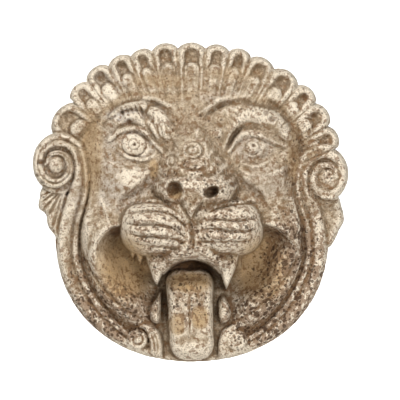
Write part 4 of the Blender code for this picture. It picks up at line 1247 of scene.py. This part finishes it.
pits = tree_nodes.new("ShaderNodeTexVoronoi")
pits.voronoi_dimensions = "4D"
tree_links.new(entry.outputs["Seed"], pits.inputs["W"])
tree_links.new(tree_maths("DIVIDE", 1.0, entry.outputs["Pit size"]), pits.inputs["Scale"])
chosen = tree_nodes.new("FunctionNodeSeparateColor")
tree_links.new(pits.outputs["Color"], chosen.inputs[0])
pit_reach = tree_maths("MULTIPLY", tree_maths("SUBTRACT", chosen.outputs[0], 0.35), 0.75)
pit = tree_maths("SUBTRACT", pit_reach, pits.outputs["Distance"])
pit = tree_maths("MINIMUM", tree_maths("MAXIMUM", tree_maths("MULTIPLY", pit, 5.0), 0.0), 1.0)
offset = tree_maths("MULTIPLY", tree_noise(entry.outputs["Swell size"], 2.0), entry.outputs["Swell depth"])
rough = tree_maths("MULTIPLY", tree_noise(entry.outputs["Rough size"], 2.0), entry.outputs["Rough depth"])
offset = tree_maths("MULTIPLY", tree_maths("ADD", offset, rough), 2.0)
offset = tree_maths("SUBTRACT", offset, tree_maths("MULTIPLY", pit, entry.outputs["Pit depth"]))
weathered = tree_nodes.new("GeometryNodeInputNamedAttribute")
weathered.data_type = "FLOAT"
weathered.inputs["Name"].default_value = "weathered"
offset = tree_maths("MULTIPLY", offset, weathered.outputs[0])
outwards = tree_nodes.new("ShaderNodeVectorMath")
outwards.operation = "SCALE"
tree_links.new(tree_nodes.new("GeometryNodeInputNormal").outputs["Normal"], outwards.inputs[0])
tree_links.new(offset, outwards.inputs["Scale"])
keep_pits = tree_nodes.new("GeometryNodeStoreNamedAttribute")
keep_pits.data_type = "FLOAT"
keep_pits.domain = "POINT"
keep_pits.inputs["Name"].default_value = "pit"
tree_links.new(entry.outputs["Stone"], keep_pits.inputs["Geometry"])
tree_links.new(pit, keep_pits.inputs["Value"])
eaten = tree_nodes.new("GeometryNodeSetPosition")
tree_links.new(keep_pits.outputs["Geometry"], eaten.inputs["Geometry"])
tree_links.new(outwards.outputs["Vector"], eaten.inputs["Offset"])
realized = tree_nodes.new("GeometryNodeRealizeInstances")
tree_links.new(eaten.outputs["Geometry"], realized.inputs["Geometry"])
finished = tree_nodes.new("GeometryNodeSetMaterial")
finished.inputs["Material"].default_value = limestone
tree_links.new(realized.outputs["Geometry"], finished.inputs["Geometry"])
tree_links.new(finished.outputs["Geometry"], leaving.inputs["Stone"])

modifier = mask.modifiers.new("weathering", "NODES")
modifier.node_group = weathering
identifiers = {
    item.name: item.identifier for item in weathering.interface.items_tree if item.in_out == "INPUT"
}
for name, value in inputs:
    modifier[identifiers[name]] = value
depsgraph = bpy.context.evaluated_depsgraph_get()
weathered_mesh = bpy.data.meshes.new_from_object(mask.evaluated_get(depsgraph))
mask.modifiers.remove(modifier)
mask.data = weathered_mesh
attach(mask, "root")
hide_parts("mascaron")


# The studio
# A plain pale floor that sweeps up far behind the stone, one soft light from the upper left, a weaker one
# from the lower right and one for the floor behind.
FLOOR_LEVEL = -0.46
SWEEP_BACK = 10.0
SWEEP_RADIUS = 1.5
SWEEP_HEIGHT = 8.0
FLOOR_REACH = 12.0

profile = [(-FLOOR_REACH, FLOOR_LEVEL), (SWEEP_BACK - SWEEP_RADIUS, FLOOR_LEVEL)]
for turn in np.linspace(0, math.pi / 2, 13)[1:]:
    profile.append((
        SWEEP_BACK - SWEEP_RADIUS + SWEEP_RADIUS * math.sin(turn),
        FLOOR_LEVEL + SWEEP_RADIUS * (1 - math.cos(turn)),
    ))
profile.append((SWEEP_BACK, SWEEP_HEIGHT))
floor_points = [(side, y, z) for y, z in profile for side in (-FLOOR_REACH, FLOOR_REACH)]
floor_faces = [(2 * k, 2 * k + 1, 2 * k + 3, 2 * k + 2) for k in range(len(profile) - 1)]
floor_mesh = bpy.data.meshes.new("studio_floor")
floor_mesh.from_pydata(floor_points, [], floor_faces)
floor_mesh.polygons.foreach_set("use_smooth", [True] * len(floor_faces))
floor = bpy.data.objects.new("studio_floor", floor_mesh)
bpy.context.scene.collection.objects.link(floor)
paper = bpy.data.materials.new("pale_paper")
paper.use_nodes = True
paper_shader = paper.node_tree.nodes["Principled BSDF"]
paper_shader.inputs["Base Color"].default_value = (0.86, 0.86, 0.85, 1.0)
paper_shader.inputs["Roughness"].default_value = 0.9
floor_mesh.materials.append(paper)

# Each light's place, what it points at, its size, watts and tint
FACE_MIDDLE = (0.0, -0.1, 0.0)
lights = (
    ("key_light", (-1.0, -2.5, 2.8), FACE_MIDDLE, 0.6, 98.0, (1.0, 0.98, 0.95)),
    ("fill_light", (1.4, -3.5, 0.0), FACE_MIDDLE, 0.9, 58.0, (1.0, 0.98, 0.96)),
    ("backdrop_light", (0.0, 4.5, 4.6), (0.0, 8.5, 0.0), 5.0, 700.0, (1.0, 1.0, 1.0)),
)
for name, position, aim, size, power, tint in lights:
    lamp = bpy.data.lights.new(name, "AREA")
    lamp.size = size
    lamp.energy = power
    lamp.color = tint
    light = bpy.data.objects.new(name, lamp)
    bpy.context.scene.collection.objects.link(light)
    light.location = position
    towards = [goal - start for goal, start in zip(aim, position)]
    light.rotation_euler = (
        math.atan2(math.hypot(towards[0], towards[1]), -towards[2]),
        0.0,
        math.atan2(towards[1], towards[0]) - math.pi / 2,
    )
surroundings = bpy.data.worlds.new("studio")
surroundings.use_nodes = True
sky = surroundings.node_tree.nodes["Background"]
sky.inputs["Color"].default_value = (1.0, 1.0, 1.0, 1.0)
sky.inputs["Strength"].default_value = 0.35
bpy.context.scene.world = surroundings
bpy.context.scene.view_settings.view_transform = "Standard"


# The camera
# Straight in front, level with the stone, far off with a long lens, as the photograph was taken.
CAMERA_DISTANCE = 8.0
VIEW_WIDTH = 0.8
VIEW_MIDDLE = (0.019, 0.004)
CLEAR_OF_FACE = 0.08
SENSOR_WIDTH = 36.0

camera_data = bpy.data.cameras.new("camera")
camera_data.sensor_width = SENSOR_WIDTH
camera_data.lens = SENSOR_WIDTH * CAMERA_DISTANCE / VIEW_WIDTH
camera_data.clip_end = 60.0
camera = bpy.data.objects.new("camera", camera_data)
bpy.context.scene.collection.objects.link(camera)
camera.location = (VIEW_MIDDLE[0], -CAMERA_DISTANCE - CLEAR_OF_FACE, VIEW_MIDDLE[1])
camera.rotation_euler = (math.pi / 2, 0.0, 0.0)
bpy.context.scene.camera = camera

bpy.context.view_layer.update()
